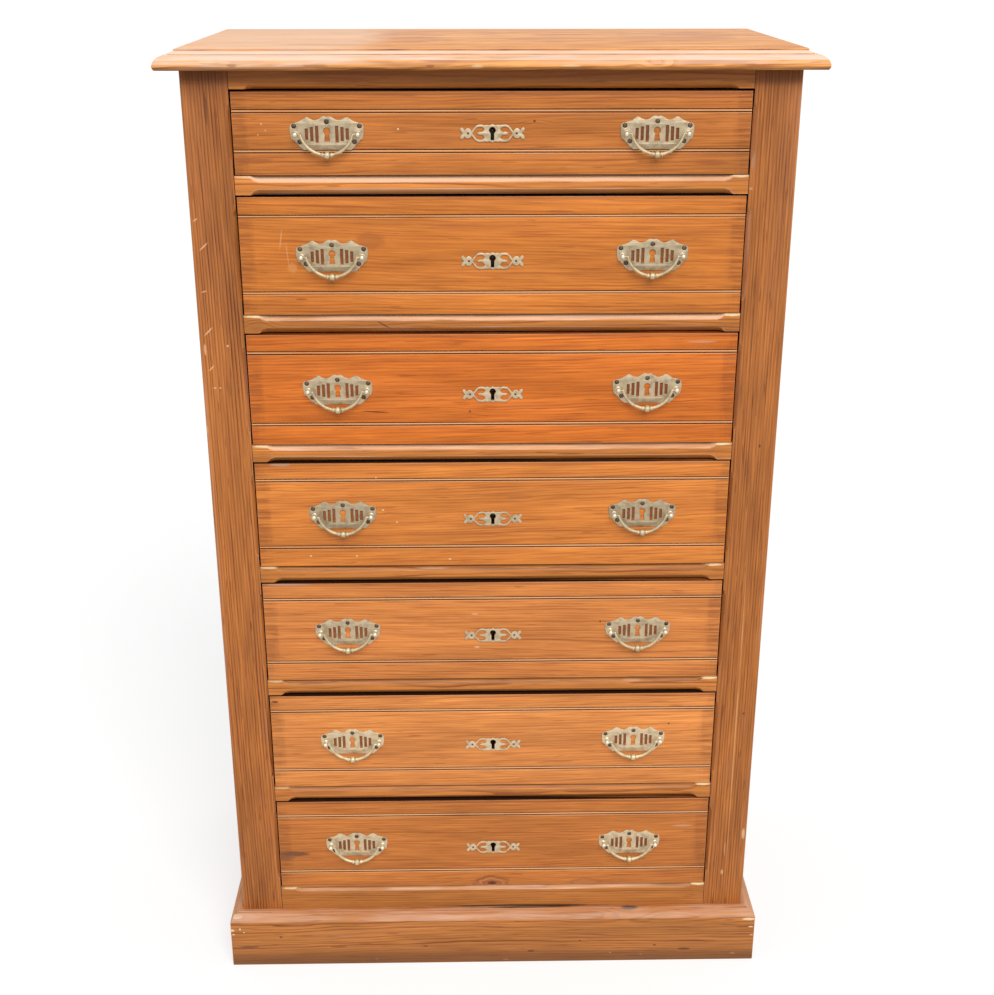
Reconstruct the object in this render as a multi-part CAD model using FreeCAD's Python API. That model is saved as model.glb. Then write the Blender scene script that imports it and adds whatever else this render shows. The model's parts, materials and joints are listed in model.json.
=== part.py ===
import FreeCAD, Part
import math
import os

from FreeCAD import Vector

# A semainier: a tall chest of seven flush drawers in pitch pine with pierced brass handles.
# All sizes are in millimetres. X runs to the right, Y from the front to the back and Z up.
# The origin is on the floor, under the middle of the whole chest.
# Every piece is first drawn with the face of the stiles at Y = 0 and is moved as it is saved.

# Carcass
carcass_width = 806.0
carcass_depth = 440.5  # face of the stiles to the back of the sides
side_thickness = 20.0
stile_width = 62.0
stile_thickness = 22.0
rail_thickness = 25.0
rail_depth = 60.0  # front to back, measured from the face of the stiles
bottom_rail_height = 76.0
housing_depth = 6.0  # rails and runners are let this far into the sides
rear_rail_depth = 40.0
back_thickness = 10.0
back_rebate = 10.0
back_board_count = 6
back_board_gap = 0.6
back_floor_gap = 95.0

# Openings for the drawers: one small above and the rest large
lowest_opening_floor = 135.0
large_opening = 162.5
small_opening = 110.5
drawer_count = 7

# Top board: the flat field steps down to a sloping band, which steps down to a quirked ovolo
top_thickness = 25.0
top_overhang_side = 28.5
top_overhang_front = 28.5
mould_width = 24.5  # nose to the flat field
mould_step = 2.4
mould_band_width = 6.0
mould_band_drop = 3.4
mould_quirk = 1.4
mould_swell = 4.8  # rise of the ovolo over a straight slope
mould_nose_height = 6.0  # the nose stands out furthest this far above the underside
mould_under_width = 2.5
mould_under_swell = 0.8

# Plinth
plinth_thickness = 20.0
plinth_height = 95.5
plinth_ledge = 8.0
plinth_fillet = 2.0
plinth_round_height = 11.0
plinth_round_swell = 1.8

# Stopped chamfers on the arrises round each opening
stile_chamfer_width = 5.0
rail_chamfer_width = 7.8
chamfer_run_out = 12.0
chamfer_stop_stile = 16.0
chamfer_stop_rail = 20.0
hollow_chord_count = 2

# Runners, guides, kickers, stops and glue blocks
runner_overlap = 16.0  # the runner reaches this far under the drawer, past the stile
guide_height = 18.0
stop_length = 40.0
stop_depth = 20.0
stop_height = 7.0
stop_offset = 250.0
stop_clearance = 0.3
glue_block_side = 24.0
glue_block_length = 70.0

# Drawers
gap_side = 2.0
small_gap_top = 3.0
large_gap_top = 2.3
gap_bottom = 1.2
running_clearance = 0.3
front_thickness = 22.0
drawer_rear_gap = 15.5  # back boards to the ends of the drawer sides
board_thickness = 12.0
side_top_drop = 2.0
bottom_thickness = 8.0
bottom_rise = 12.0
groove_depth = 5.0
back_housing = 4.0
back_top_drop = 6.0
lap = 6.0  # wood left in front of the dovetails
tail_width = 40.0
tail_slope = 1.0 / 6.0
large_tails = 3
small_tails = 2

# Scratch beads across each drawer front
bead_width = 5.5
bead_depth = 1.6
bead_quirk = 0.85
bead_below_face = 0.25
bead_chord_count = 3
large_bead_insets = (25.8, 29.7)  # top edge and foot of the drawer to the middle of the bead
small_bead_insets = (24.5, 30.7)

# Handles: a pierced plate, two ball-headed posts and a swinging bail
handle_offset = 216.0
large_handle_rise = 0.6  # pivots above the middle of the drawer
small_handle_rise = 0.2
plate_thickness = 1.5
plate_half_width = 48.3
plate_foot = 20.6
plate_foot_half_width = 31.2
plate_end_foot = 5.5  # the upright ends of the plate reach this far below its pivots
scallop_chord_count = 2
# Curves of the plate's edge, each through three points: (distance from the middle, height) along the top
plate_crown = ((0, 20.8), (4.8, 21.7), (9.4, 19.6), (13.6, 17.8), (18.4, 18.8), (26.4, 20.9), (34.4, 17.4))
# and (distance in from the end, height) at the upper and lower corners
plate_shoulder = ((6.3, 14.6), (1.3, 12.9), (0, 9.5))
plate_waist = ((4.1, -9.4), (6.1, -14.4), (11.1, -15.8))
slot_width = 3.4
slot_gap = 3.4
slot_middle_drop = 0.5
first_slot_offset = 13.0
slot_heights = (21.0, 17.8, 14.2)
plate_key_radius = 4.4
plate_key_rise = 3.2
plate_key_waist = 5.6
plate_key_foot_width = 7.8
plate_key_foot = 10.7
post_offset = 40.8
post_reach = 8.5  # face of the plate to the middle of the ball
post_root_radius = 2.6
post_neck_radius = 1.9
post_ball_radius = 3.7
post_tip_angle = 58.0  # how far round the ball its flat tip begins
pivot_radius = 1.05
pivot_clearance = 0.08
pivot_depth = 2.4  # how far the pivot reaches into the ball
bail_radius = 35.3
bail_drop = 26.4
bail_bar_radius = 1.75
bail_step_count = 3  # straight runs in each half of the bent bar
knob_half_length = 5.6
knob_end_radius = 3.0
knob_middle_half = 2.0
knob_radius = 4.8
post_flat_count = 6  # round brass is drawn with this many flats
bail_flat_count = 5

# Escutcheon and lock
large_escutcheon_rise = -6.4  # above the middle of the drawer
small_escutcheon_rise = 0.3
escutcheon_thickness = 1.5
# Upper right quarter of its edge, and of the opening round the tongue in its arm: (across, up)
escutcheon_edge = (
    (0, 12.8),
    (2.4, 11.2),
    (19.8, 10.6),
    (26.0, 3.2),
    (30.8, 6.9),
    (36.4, 3.0),
    (41.6, 6.0),
    (40.6, 0),
)
escutcheon_loop = ((18.0, 0), (10.8, 2.3), (11.8, 6.6), (17.4, 7.0), (23.0, 0))
keyhole_radius = 4.5
keyhole_rise = 3.7
keyhole_slot = 4.6
keyhole_foot = 8.7
keyhole_chord_count = 5
lock_depth = 12.0
lock_half_width = 28.0
lock_half_height = 26.0
key_well_half_width = 5.5
key_well_depth = 9.0
key_well_spare = 0.5  # room above and below the keyhole
bolt_half_width = 6.0
bolt_thickness = 4.0
bolt_set_back = 12.0
bolt_above_keyhole = 1.0
bolt_clearance = 0.3
bolt_throw = 8.0  # rise of the bolt above the top edge of the drawer front
bolt_mortise_spare = 2.0
overcut = 1.0  # every cutter runs this far past the piece that it cuts

# Worked out from the sizes above
half_width = carcass_width / 2
half_opening = half_width - stile_width
side_inner = half_width - side_thickness
back_face = carcass_depth - back_thickness
drawer_half = half_opening - gap_side
drawer_rear = back_face - drawer_rear_gap
opening_heights = [small_opening] + [large_opening] * (drawer_count - 1)
opening_floors = []
level = lowest_opening_floor + sum(opening_heights) + rail_thickness * (drawer_count - 1)
for height in opening_heights:
    level -= height
    opening_floors.append(level)
    level -= rail_thickness
top_rail_floor = opening_floors[0] + small_opening
carcass_height = top_rail_floor + rail_thickness
height_overall = carcass_height + top_thickness
face_y = top_overhang_front - (carcass_depth + top_overhang_front) / 2
pivot_y = -plate_thickness - post_reach


def block(x0, x1, y0, y1, z0, z1):
    return Part.makeBox(x1 - x0, y1 - y0, z1 - z0, Vector(x0, y0, z0))


def mirrored(shape):
    return shape.mirror(Vector(0, 0, 0), Vector(1, 0, 0))


def pair(shape):
    """The same piece on the left and on the right."""
    return [mirrored(shape), shape]


def arc_edge(start, through, end):
    return Part.Arc(start, through, end).toShape()


def bent(start, through, end, chords):
    """Points along an arc drawn as a few chords, so that pieces made many times stay light."""
    return arc_edge(start, through, end).discretize(Number=chords + 1)


def swelling_arc(start, end, swell, outward):
    """Arc over a straight run, standing out from its middle by the swell."""
    normal = Vector(outward)
    along = end - start
    along.normalize()
    normal = normal - along * normal.dot(along)
    normal.normalize()
    return arc_edge(start, (start + end) * 0.5 + normal * swell, end)


def face_of(edges):
    return Part.Face(Part.Wire(Part.__sortEdges__(edges)))


def polygon_face(points):
    return Part.Face(Part.makePolygon(points + points[:1]))


def joined(shapes):
    return shapes[0].fuse(shapes[1:]).removeSplitter()


def save(node, solids):
    """Move the solids of one node into the frame of the whole chest and write them."""
    shape = Part.makeCompound(solids) if len(solids) > 1 else solids[0]
    shape.translate(Vector(0, face_y, 0))
    shape.exportStep("parts/" + node + ".step")


# --- Carcass ---------------------------------------------------------------------------------


def stopped_chamfer(start, end, inward, width):
    """Cutter for a chamfer along an arris, hollowed out to nothing at both ends."""
    along = end - start
    length = along.Length
    along.normalize()
    depth = width / math.sqrt(2)
    radius = (chamfer_run_out**2 + depth**2) / (2 * depth)
    half_angle = math.asin(chamfer_run_out / radius) / 2
    hollow_run = radius * math.sin(half_angle)
    hollow_depth = depth - radius * (1 - math.cos(half_angle))

    def at(distance, sink):
        return start + along * distance + inward * sink

    hollow = chamfer_run_out - hollow_run
    outline = bent(at(0, 0), at(hollow, hollow_depth), at(chamfer_run_out, depth), hollow_chord_count)
    outline += bent(
        at(length - chamfer_run_out, depth),
        at(length - hollow, hollow_depth),
        at(length, 0),
        hollow_chord_count,
    )
    outline += [at(length, -depth), at(0, -depth)]
    across = along.cross(inward) * (2 * depth)
    cutter = polygon_face(outline).extrude(across * 2)
    cutter.translate(-across)
    return cutter


def rail_chamfer(z, up):
    """Chamfer along a rail's front arris; up is +1 where the wood lies above the arris."""
    reach = half_opening - chamfer_stop_rail
    inward = Vector(0, 1, up).normalize()
    return stopped_chamfer(Vector(-reach, 0, z), Vector(reach, 0, z), inward, rail_chamfer_width)


def bolt_mortise(z, gap):
    """Hole in the underside of a rail for the bolt that crosses the gap above the drawer below."""
    half = bolt_half_width + 2 * bolt_clearance
    front = bolt_set_back - 2 * bolt_clearance
    rear = bolt_set_back + bolt_thickness + 2 * bolt_clearance
    return block(-half, half, front, rear, z, z + bolt_throw - gap + bolt_mortise_spare)


def top_moulding(edge):
    """Profile of the moulded edge: points and arcs as (distance in from the edge, height)."""
    band_top = height_overall - mould_step
    band_foot = band_top - mould_band_drop
    band_in = mould_width - mould_band_width
    field = edge(mould_width, height_overall)
    step_foot = edge(mould_width, band_top)
    band_edge = edge(band_in, band_foot)
    quirk_foot = edge(band_in, band_foot - mould_quirk)
    nose_point = edge(0, carcass_height + mould_nose_height)
    under = edge(mould_under_width, carcass_height)
    outward = edge(0, 0) - edge(1, 0)
    return [
        Part.makeLine(field, step_foot),
        Part.makeLine(step_foot, band_edge),
        Part.makeLine(band_edge, quirk_foot),
        swelling_arc(quirk_foot, nose_point, mould_swell, outward),
        swelling_arc(nose_point, under, mould_under_swell, outward),
    ]


def top_board():
    """Two mouldings, one run across and one run front to back, meet in true mitres."""
    half = half_width + top_overhang_side
    front = -top_overhang_front
    rear = carcass_depth

    def front_edge(inset, z):
        return Vector(-half, front + inset, z)

    def left_edge(inset, z):
        return Vector(-half + inset, front, z)

    def right_edge(inset, z):
        return Vector(half - inset, front, z)

    across = top_moulding(front_edge)
    across += [
        Part.makeLine(front_edge(mould_under_width, carcass_height), Vector(-half, rear, carcass_height)),
        Part.makeLine(Vector(-half, rear, carcass_height), Vector(-half, rear, height_overall)),
        Part.makeLine(Vector(-half, rear, height_overall), front_edge(mould_width, height_overall)),
    ]
    along = top_moulding(left_edge) + top_moulding(right_edge)
    for inset, z in ((mould_under_width, carcass_height), (mould_width, height_overall)):
        along.append(Part.makeLine(left_edge(inset, z), right_edge(inset, z)))
    run_across = face_of(across).extrude(Vector(2 * half, 0, 0))
    run_along = face_of(along).extrude(Vector(0, rear - front, 0))
    return run_across.common(run_along)


def side_board():
    """Right side, housed for the rails and runners and rebated for the back boards."""
    board = block(side_inner, half_width, stile_thickness, carcass_depth, 0, carcass_height)
    housed = side_inner + housing_depth
    cuts = [
        block(side_inner, housed, stile_thickness, back_face, floor - rail_thickness, floor)
        for floor in opening_floors
    ]
    cuts.append(block(side_inner, side_inner + back_rebate, back_face, carcass_depth, 0, carcass_height))
    return board.cut(cuts)


def stile():
    """Right stile, chamfered along each opening."""
    post = block(half_opening, half_width, 0, stile_thickness, 0, carcass_height)
    inward = Vector(1, 1, 0).normalize()
    cuts = []
    for floor, height in zip(opening_floors, opening_heights):
        start = Vector(half_opening, 0, floor + chamfer_stop_stile)
        end = Vector(half_opening, 0, floor + height - chamfer_stop_stile)
        cuts.append(stopped_chamfer(start, end, inward, stile_chamfer_width))
    return post.cut(cuts)


def rail_blank(z, end_x):
    """Rail between the stiles, with a deeper part behind them that reaches the sides."""
    face = block(-half_opening, half_opening, 0, stile_thickness, z, z + rail_thickness)
    web = block(-end_x, end_x, stile_thickness, rail_depth, z, z + rail_thickness)
    return joined([face, web])


def top_rail():
    blank = rail_blank(top_rail_floor, side_inner)
    return blank.cut([rail_chamfer(top_rail_floor, 1), bolt_mortise(top_rail_floor, small_gap_top)])


def drawer_rails():
    """Six rails under the upper drawers, and a plain bearer behind the bottom rail."""
    housed = side_inner + housing_depth
    rails = []
    for floor in opening_floors[:-1]:
        under = floor - rail_thickness
        cuts = [rail_chamfer(floor, -1), rail_chamfer(under, 1), bolt_mortise(under, large_gap_top)]
        rails.append(rail_blank(under, housed).cut(cuts))
    bearer_top = opening_floors[-1]
    bearer_foot = bearer_top - rail_thickness
    rails.append(block(-housed, housed, stile_thickness, rail_depth, bearer_foot, bearer_top))
    return rails


def bottom_rail():
    top = opening_floors[-1]
    blank = block(-half_opening, half_opening, 0, stile_thickness, top - bottom_rail_height, top)
    return blank.cut(rail_chamfer(top, -1))


def rear_rails():
    """Rails at the top and the foot that the back boards are nailed to."""
    front = back_face - rear_rail_depth
    foot = opening_floors[-1] - rail_thickness
    return [
        block(-side_inner, side_inner, front, back_face, top_rail_floor, carcass_height),
        block(
            runner_overlap - half_opening,
            half_opening - runner_overlap,
            front,
            back_face,
            foot,
            foot + rail_thickness,
        ),
    ]


def back_boards():
    reach = side_inner + back_rebate
    width = 2 * reach / back_board_count
    boards = []
    for index in range(back_board_count):
        left = -reach + index * width
        boards.append(
            block(
                left + back_board_gap / 2,
                left + width - back_board_gap / 2,
                back_face,
                carcass_depth,
                back_floor_gap,
                carcass_height,
            )
        )
    return boards


def runners():
    """Strips level with the rails that carry the sides of the drawers."""
    inner = half_opening - runner_overlap
    outer = side_inner + housing_depth
    strips = []
    for floor in opening_floors:
        strips += pair(block(inner, outer, rail_depth, back_face, floor - rail_thickness, floor))
    return strips


def guides():
    """Strips on the runners that keep the drawers from moving sideways."""
    strips = []
    for floor in opening_floors:
        top = floor + guide_height
        strips += pair(block(half_opening, side_inner, stile_thickness, back_face, floor, top))
    return strips


def stops():
    """Blocks glued on the rails, which the drawer fronts meet from the front."""
    front = front_thickness + stop_clearance
    blocks = []
    rear = front + stop_depth
    left = stop_offset - stop_length / 2
    for floor in opening_floors:
        blocks += pair(block(left, left + stop_length, front, rear, floor, floor + stop_height))
    return blocks


def kickers():
    """Strips over the top drawer that keep it from tipping as it is pulled out."""
    inner = half_opening - runner_overlap
    rear = back_face - rear_rail_depth
    return pair(block(inner, side_inner, rail_depth, rear, top_rail_floor, carcass_height))


def plinth_profile(at):
    """Outline of the plinth as (distance out from the carcass, height)."""
    round_foot = plinth_height - plinth_fillet - plinth_round_height
    shoulder = at(plinth_ledge, plinth_height - plinth_fillet)
    nose = at(plinth_thickness, round_foot)
    return [
        Part.makeLine(at(0, 0), at(plinth_thickness, 0)),
        Part.makeLine(at(plinth_thickness, 0), nose),
        swelling_arc(nose, shoulder, plinth_round_swell, at(1, 0) - at(0, -1)),
        Part.makeLine(shoulder, at(plinth_ledge, plinth_height)),
        Part.makeLine(at(plinth_ledge, plinth_height), at(0, plinth_height)),
        Part.makeLine(at(0, plinth_height), at(0, 0)),
    ]


def corner_wedge(far_x, far_y):
    """Waste on one side of the mitre at the front right corner of the plinth."""
    reach = plinth_thickness * 2
    corners = [(half_width, 0), (half_width + reach, -reach), (far_x, far_y)]
    points = [Vector(x, y, -overcut) for x, y in corners]
    return polygon_face(points).extrude(Vector(0, 0, plinth_height + 2 * overcut))


def plinth_front():
    end = half_width + plinth_thickness
    bar = face_of(plinth_profile(lambda out, z: Vector(-end, -out, z))).extrude(Vector(2 * end, 0, 0))
    return bar.cut(pair(corner_wedge(half_width + plinth_thickness * 2, 0)))


def plinth_side():
    """Right side of the plinth."""
    start = -plinth_thickness
    profile = face_of(plinth_profile(lambda out, z: Vector(half_width + out, start, z)))
    bar = profile.extrude(Vector(0, carcass_depth - start, 0))
    return bar.cut(corner_wedge(half_width, -plinth_thickness * 2))


def glue_blocks():
    """Three-cornered blocks in the angles under the top and behind the stiles at the foot."""
    blocks = []
    for middle in (rail_depth + glue_block_length, back_face - rear_rail_depth - glue_block_length):
        start = middle - glue_block_length / 2
        under_kicker = [
            Vector(side_inner, start, top_rail_floor),
            Vector(side_inner - glue_block_side, start, top_rail_floor),
            Vector(side_inner, start, top_rail_floor - glue_block_side),
        ]
        blocks += pair(polygon_face(under_kicker).extrude(Vector(0, glue_block_length, 0)))
    behind_stile = [
        Vector(side_inner, stile_thickness, 0),
        Vector(side_inner - glue_block_side, stile_thickness, 0),
        Vector(side_inner, stile_thickness + glue_block_side, 0),
    ]
    blocks += pair(polygon_face(behind_stile).extrude(Vector(0, 0, glue_block_length)))
    return blocks


# --- Drawers ---------------------------------------------------------------------------------


class Drawer:
    """Heights of one drawer, from the opening that it fills."""

    def __init__(self, floor, height):
        small = height == small_opening
        self.front_foot = floor + gap_bottom
        self.front_top = floor + height - (small_gap_top if small else large_gap_top)
        self.middle = (self.front_foot + self.front_top) / 2
        self.foot = floor + running_clearance
        self.side_top = self.front_top - side_top_drop
        self.tails = small_tails if small else large_tails
        top_inset, foot_inset = small_bead_insets if small else large_bead_insets
        self.beads = (self.front_top - top_inset, self.front_foot + foot_inset)
        self.pivot = self.middle + (small_handle_rise if small else large_handle_rise)
        self.key = self.middle + (small_escutcheon_rise if small else large_escutcheon_rise)


def tail_prisms(drawer):
    """Dovetails on the front end of the right side."""
    pitch = (drawer.side_top - drawer.foot) / drawer.tails
    wide = tail_width / 2
    narrow = wide - (front_thickness - lap) * tail_slope
    prisms = []
    for index in range(drawer.tails):
        z = drawer.foot + pitch * (index + 0.5)
        points = [
            Vector(drawer_half - board_thickness, lap, z - wide),
            Vector(drawer_half - board_thickness, front_thickness, z - narrow),
            Vector(drawer_half - board_thickness, front_thickness, z + narrow),
            Vector(drawer_half - board_thickness, lap, z + wide),
        ]
        prisms.append(polygon_face(points).extrude(Vector(board_thickness, 0, 0)))
    return prisms


def drawer_bottom(drawer):
    reach = drawer_half - board_thickness + groove_depth
    front = front_thickness - groove_depth
    z = drawer.foot + bottom_rise
    return block(-reach, reach, front, drawer_rear, z, z + bottom_thickness)


def drawer_back(drawer):
    reach = drawer_half - board_thickness + back_housing
    z = drawer.foot + bottom_rise + bottom_thickness
    top = drawer.side_top - back_top_drop
    return block(-reach, reach, drawer_rear - board_thickness * 2, drawer_rear - board_thickness, z, top)


def drawer_side(drawer):
    """Right side of a drawer, dovetailed to the front and grooved for the bottom and back."""
    inner = drawer_half - board_thickness
    board = block(inner, drawer_half, front_thickness, drawer_rear, drawer.foot, drawer.side_top)
    whole = joined([board] + tail_prisms(drawer))
    return whole.cut([drawer_bottom(drawer), drawer_back(drawer)])


def bead_cutter(z):
    """Scratch bead: a round between two quirks, sunk just below the face."""
    outer = bead_width / 2
    valley = outer - bead_quirk
    reach = drawer_half + overcut

    def at(y, up):
        return Vector(-reach, y, z + up)

    outline = [at(-overcut, outer), at(-overcut, -outer), at(0, -outer)]
    round_ends = at(bead_depth, -valley), at(bead_depth, valley)
    outline += bent(round_ends[0], at(bead_below_face, 0), round_ends[1], bead_chord_count)
    outline.append(at(0, outer))
    return polygon_face(outline).extrude(Vector(2 * reach, 0, 0))


def keyhole(x, z, radius, neck, foot_width, foot, y0, y1):
    """Keyhole through from y0 to y1: a round head over a straight or spreading slot."""
    neck_angle = math.asin(neck / 2 / radius)
    turn = 2 * (math.pi - neck_angle) / keyhole_chord_count
    points = []
    for step in range(keyhole_chord_count + 1):
        angle = neck_angle + step * turn
        points.append(Vector(x - radius * math.sin(angle), y0, z - radius * math.cos(angle)))
    points.append(Vector(x + foot_width / 2, y0, foot))
    points.append(Vector(x - foot_width / 2, y0, foot))
    return polygon_face(points).extrude(Vector(0, y1 - y0, 0))


def lock_keyhole(drawer, y0, y1):
    centre = drawer.key + keyhole_rise
    foot = drawer.key - keyhole_foot
    return keyhole(0, centre, keyhole_radius, keyhole_slot, keyhole_slot, foot, y0, y1)


def bolt_way(drawer, clearance):
    """Space of the bolt from just above the key well up to the top edge of the front."""
    half = bolt_half_width + clearance
    front = bolt_set_back - clearance
    rear = bolt_set_back + bolt_thickness + clearance
    foot = drawer.key + keyhole_rise + keyhole_radius + bolt_above_keyhole
    return block(-half, half, front, rear, foot, drawer.front_top + clearance)


def lock_block(drawer):
    front = front_thickness - lock_depth
    low = drawer.key - lock_half_height
    high = drawer.key + lock_half_height
    return block(-lock_half_width, lock_half_width, front, front_thickness, low, high)


def drawer_front(drawer):
    board = block(-drawer_half, drawer_half, 0, front_thickness, drawer.front_foot, drawer.front_top)
    cuts = [bead_cutter(z) for z in drawer.beads]
    cuts += [
        drawer_bottom(drawer),
        lock_block(drawer),
        lock_keyhole(drawer, -overcut, front_thickness - lock_depth + overcut),
        bolt_way(drawer, bolt_clearance),
    ]
    for prism in tail_prisms(drawer):
        cuts += pair(prism)
    return board.cut(cuts)


def lock_case(drawer):
    """Lock let into the back of the front, with a well for the key and a way for the bolt."""
    front = front_thickness - lock_depth
    centre = drawer.key
    well = block(
        -key_well_half_width,
        key_well_half_width,
        front - overcut,
        front + key_well_depth,
        centre - keyhole_foot - key_well_spare,
        centre + keyhole_rise + keyhole_radius + key_well_spare,
    )
    return lock_block(drawer).cut([well, bolt_way(drawer, bolt_clearance)])


# --- Brass -----------------------------------------------------------------------------------


def ring(centre, across, up, radius, flats):
    """Corners round a centre, in the plane of two directions."""
    corners = []
    for step in range(flats):
        angle = 2 * math.pi * (step + 0.5) / flats
        corners.append(centre + across * (radius * math.cos(angle)) + up * (radius * math.sin(angle)))
    return corners


def skin(rings):
    """Closed solid through rings of corners, each ring joined to the next by flat faces."""
    faces = [polygon_face(rings[0]), polygon_face(rings[-1])]
    for near, far in zip(rings, rings[1:]):
        for i in range(len(near)):
            j = (i + 1) % len(near)
            faces.append(polygon_face([near[i], near[j], far[j]]))
            faces.append(polygon_face([near[i], far[j], far[i]]))
    solid = Part.Solid(Part.Shell(faces)).removeSplitter()
    if solid.Volume < 0:
        solid.reverse()
    return solid


def turned(origin, along, across, stations, flats):
    """Turned piece: stations are (distance along the axis, radius to the corners)."""
    up = along.cross(across)
    rings = [ring(origin + along * distance, across, up, radius, flats) for distance, radius in stations]
    return skin(rings)


def plate_half(x, z):
    """Right half of the plate's outline, from the top middle round to its foot."""

    def at(dx, dz):
        return Vector(x + dx, 0, z + dz)

    def corner(curve):
        return bent(*[at(plate_half_width - inset, dz) for inset, dz in curve], scallop_chord_count)

    crown = [at(dx, dz) for dx, dz in plate_crown]
    points = crown[:1]
    for start, through, end in zip(crown[::2], crown[1::2], crown[2::2]):
        points += bent(start, through, end, scallop_chord_count)[1:]
    points += corner(plate_shoulder)
    points.append(at(plate_half_width, -plate_end_foot))
    points += corner(plate_waist)
    points.append(at(plate_foot_half_width, -plate_foot))
    return points


def handle_plate(x, z):
    """Scalloped plate pierced with a keyhole between two groups of slots."""
    right = plate_half(x, z)
    left = [Vector(2 * x - point.x, 0, point.z) for point in reversed(right[1:])]
    plate = polygon_face(right + left).extrude(Vector(0, -plate_thickness, 0))
    front = -plate_thickness - overcut
    cuts = [
        keyhole(
            x,
            z + plate_key_rise,
            plate_key_radius,
            plate_key_waist,
            plate_key_foot_width,
            z - plate_key_foot,
            front,
            overcut,
        )
    ]
    for index, height in enumerate(slot_heights):
        middle = first_slot_offset + index * (slot_width + slot_gap)
        foot = z - slot_middle_drop - height / 2
        for side in (-1, 1):
            left_edge = x + side * middle - slot_width / 2
            cuts.append(block(left_edge, left_edge + slot_width, front, overcut, foot, foot + height))
    return plate.cut(cuts)


def handle_posts(x, z):
    """Two ball-headed posts, each drilled on its inner side for the pivot of the bail."""
    outward = Vector(0, -1, 0)
    tip_angle = math.radians(post_tip_angle)
    tip_radius = post_ball_radius * math.cos(tip_angle)
    reach = post_ball_radius * math.sin(tip_angle)
    posts = []
    for side in (-1, 1):
        foot = Vector(x + side * post_offset, -plate_thickness, z)
        stations = [
            (0, post_root_radius),
            (post_reach - reach, post_neck_radius),
            (post_reach, post_ball_radius),
            (post_reach + reach, tip_radius),
        ]
        post = turned(foot, outward, Vector(1, 0, 0), stations, post_flat_count)
        start = Vector(x + side * (post_offset - pivot_depth / 2), pivot_y, z)
        bore_radius = (pivot_radius + pivot_clearance) / math.cos(math.pi / bail_flat_count)
        walls = [(0, bore_radius), (post_ball_radius * 2, bore_radius)]
        bore = turned(start, Vector(-side, 0, 0), Vector(0, 0, -1), walls, bail_flat_count)
        posts.append(post.cut(bore))
    return posts


def bail(x, z):
    """Swinging bail: a bent bar with a turned knob, its ends turned out to pivot in the posts."""
    centre = Vector(x, pivot_y, z + bail_radius - bail_drop)
    swing = math.acos((bail_radius - bail_drop) / bail_radius)
    knob_angle = math.asin(knob_half_length / bail_radius)
    elbow = bail_radius * math.sin(swing)
    pivot_end = post_offset - pivot_depth / 2 - 2 * pivot_clearance
    backward = Vector(0, 1, 0)

    def section(middle, angle, radius):
        return ring(middle, Vector(math.sin(angle), 0, -math.cos(angle)), backward, radius, bail_flat_count)

    def half(side):
        rings = [
            section(Vector(x + side * pivot_end, pivot_y, z), 0, pivot_radius),
            section(Vector(x + side * (elbow + bail_bar_radius), pivot_y, z), 0, pivot_radius),
            section(Vector(x + side * elbow, pivot_y, z), side * swing / 2, bail_bar_radius),
        ]
        for step in range(1, bail_step_count + 1):
            angle = side * (swing - (swing - knob_angle) * step / bail_step_count)
            radial = Vector(math.sin(angle), 0, -math.cos(angle))
            rings.append(section(centre + radial * bail_radius, angle, bail_bar_radius))
        for reach, radius in ((knob_half_length, knob_end_radius), (knob_middle_half, knob_radius)):
            rings.append(section(Vector(x + side * reach, pivot_y, z - bail_drop), 0, radius))
        return rings

    return skin(half(-1) + list(reversed(half(1))))


def escutcheon(drawer):
    """Pierced plate round the keyhole, with an open arm and a floret on each side."""
    z = drawer.key
    front = -escutcheon_thickness
    quarter = [Vector(dx, 0, dz) for dx, dz in escutcheon_edge]
    right = quarter + [Vector(point.x, 0, -point.z) for point in reversed(quarter[:-1])]
    left = [Vector(-point.x, 0, point.z) for point in reversed(right[1:-1])]
    plate = polygon_face(right + left).extrude(Vector(0, front, 0))
    plate.translate(Vector(0, 0, z))
    start = front - overcut
    upper = [Vector(dx, start, z + dz) for dx, dz in escutcheon_loop]
    lower = [Vector(dx, start, z - dz) for dx, dz in reversed(escutcheon_loop[1:-1])]
    piercing = polygon_face(upper + lower).extrude(Vector(0, overcut - start, 0))
    return plate.cut(pair(piercing) + [lock_keyhole(drawer, start, overcut)])


# --- Nodes -----------------------------------------------------------------------------------

os.makedirs("parts", exist_ok=True)

save("top_board", [top_board()])
save("side_right", [side_board()])
save("side_left", [mirrored(side_board())])
save("stile_right", [stile()])
save("stile_left", [mirrored(stile())])
save("top_rail", [top_rail()])
save("drawer_rails", drawer_rails())
save("bottom_rail", [bottom_rail()])
save("rear_rails", rear_rails())
save("back_boards", back_boards())
save("drawer_runners", runners())
save("drawer_guides", guides())
save("drawer_stops", stops())
save("kickers", kickers())
save("plinth_front", [plinth_front()])
save("plinth_right", [plinth_side()])
save("plinth_left", [mirrored(plinth_side())])
save("glue_blocks", glue_blocks())

for number, (floor, height) in enumerate(zip(opening_floors, opening_heights), start=1):
    drawer = Drawer(floor, height)
    name = "drawer_" + str(number)
    fittings = [escutcheon(drawer), lock_case(drawer)]
    for side in (-1, 1):
        fittings.append(handle_plate(side * handle_offset, drawer.pivot))
        fittings += handle_posts(side * handle_offset, drawer.pivot)
    save(name + "_front", [drawer_front(drawer)])
    save(name + "_box", pair(drawer_side(drawer)) + [drawer_back(drawer), drawer_bottom(drawer)])
    save(name + "_fittings", fittings)
    save("bail_" + str(number) + "_left", [bail(-handle_offset, drawer.pivot)])
    save("bail_" + str(number) + "_right", [bail(handle_offset, drawer.pivot)])
    bolt = bolt_way(drawer, 0)
    save("lock_bolt_" + str(number), [bolt])
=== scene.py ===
import json
import math
import random

import bmesh
import bpy
from mathutils import Matrix, Vector


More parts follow.
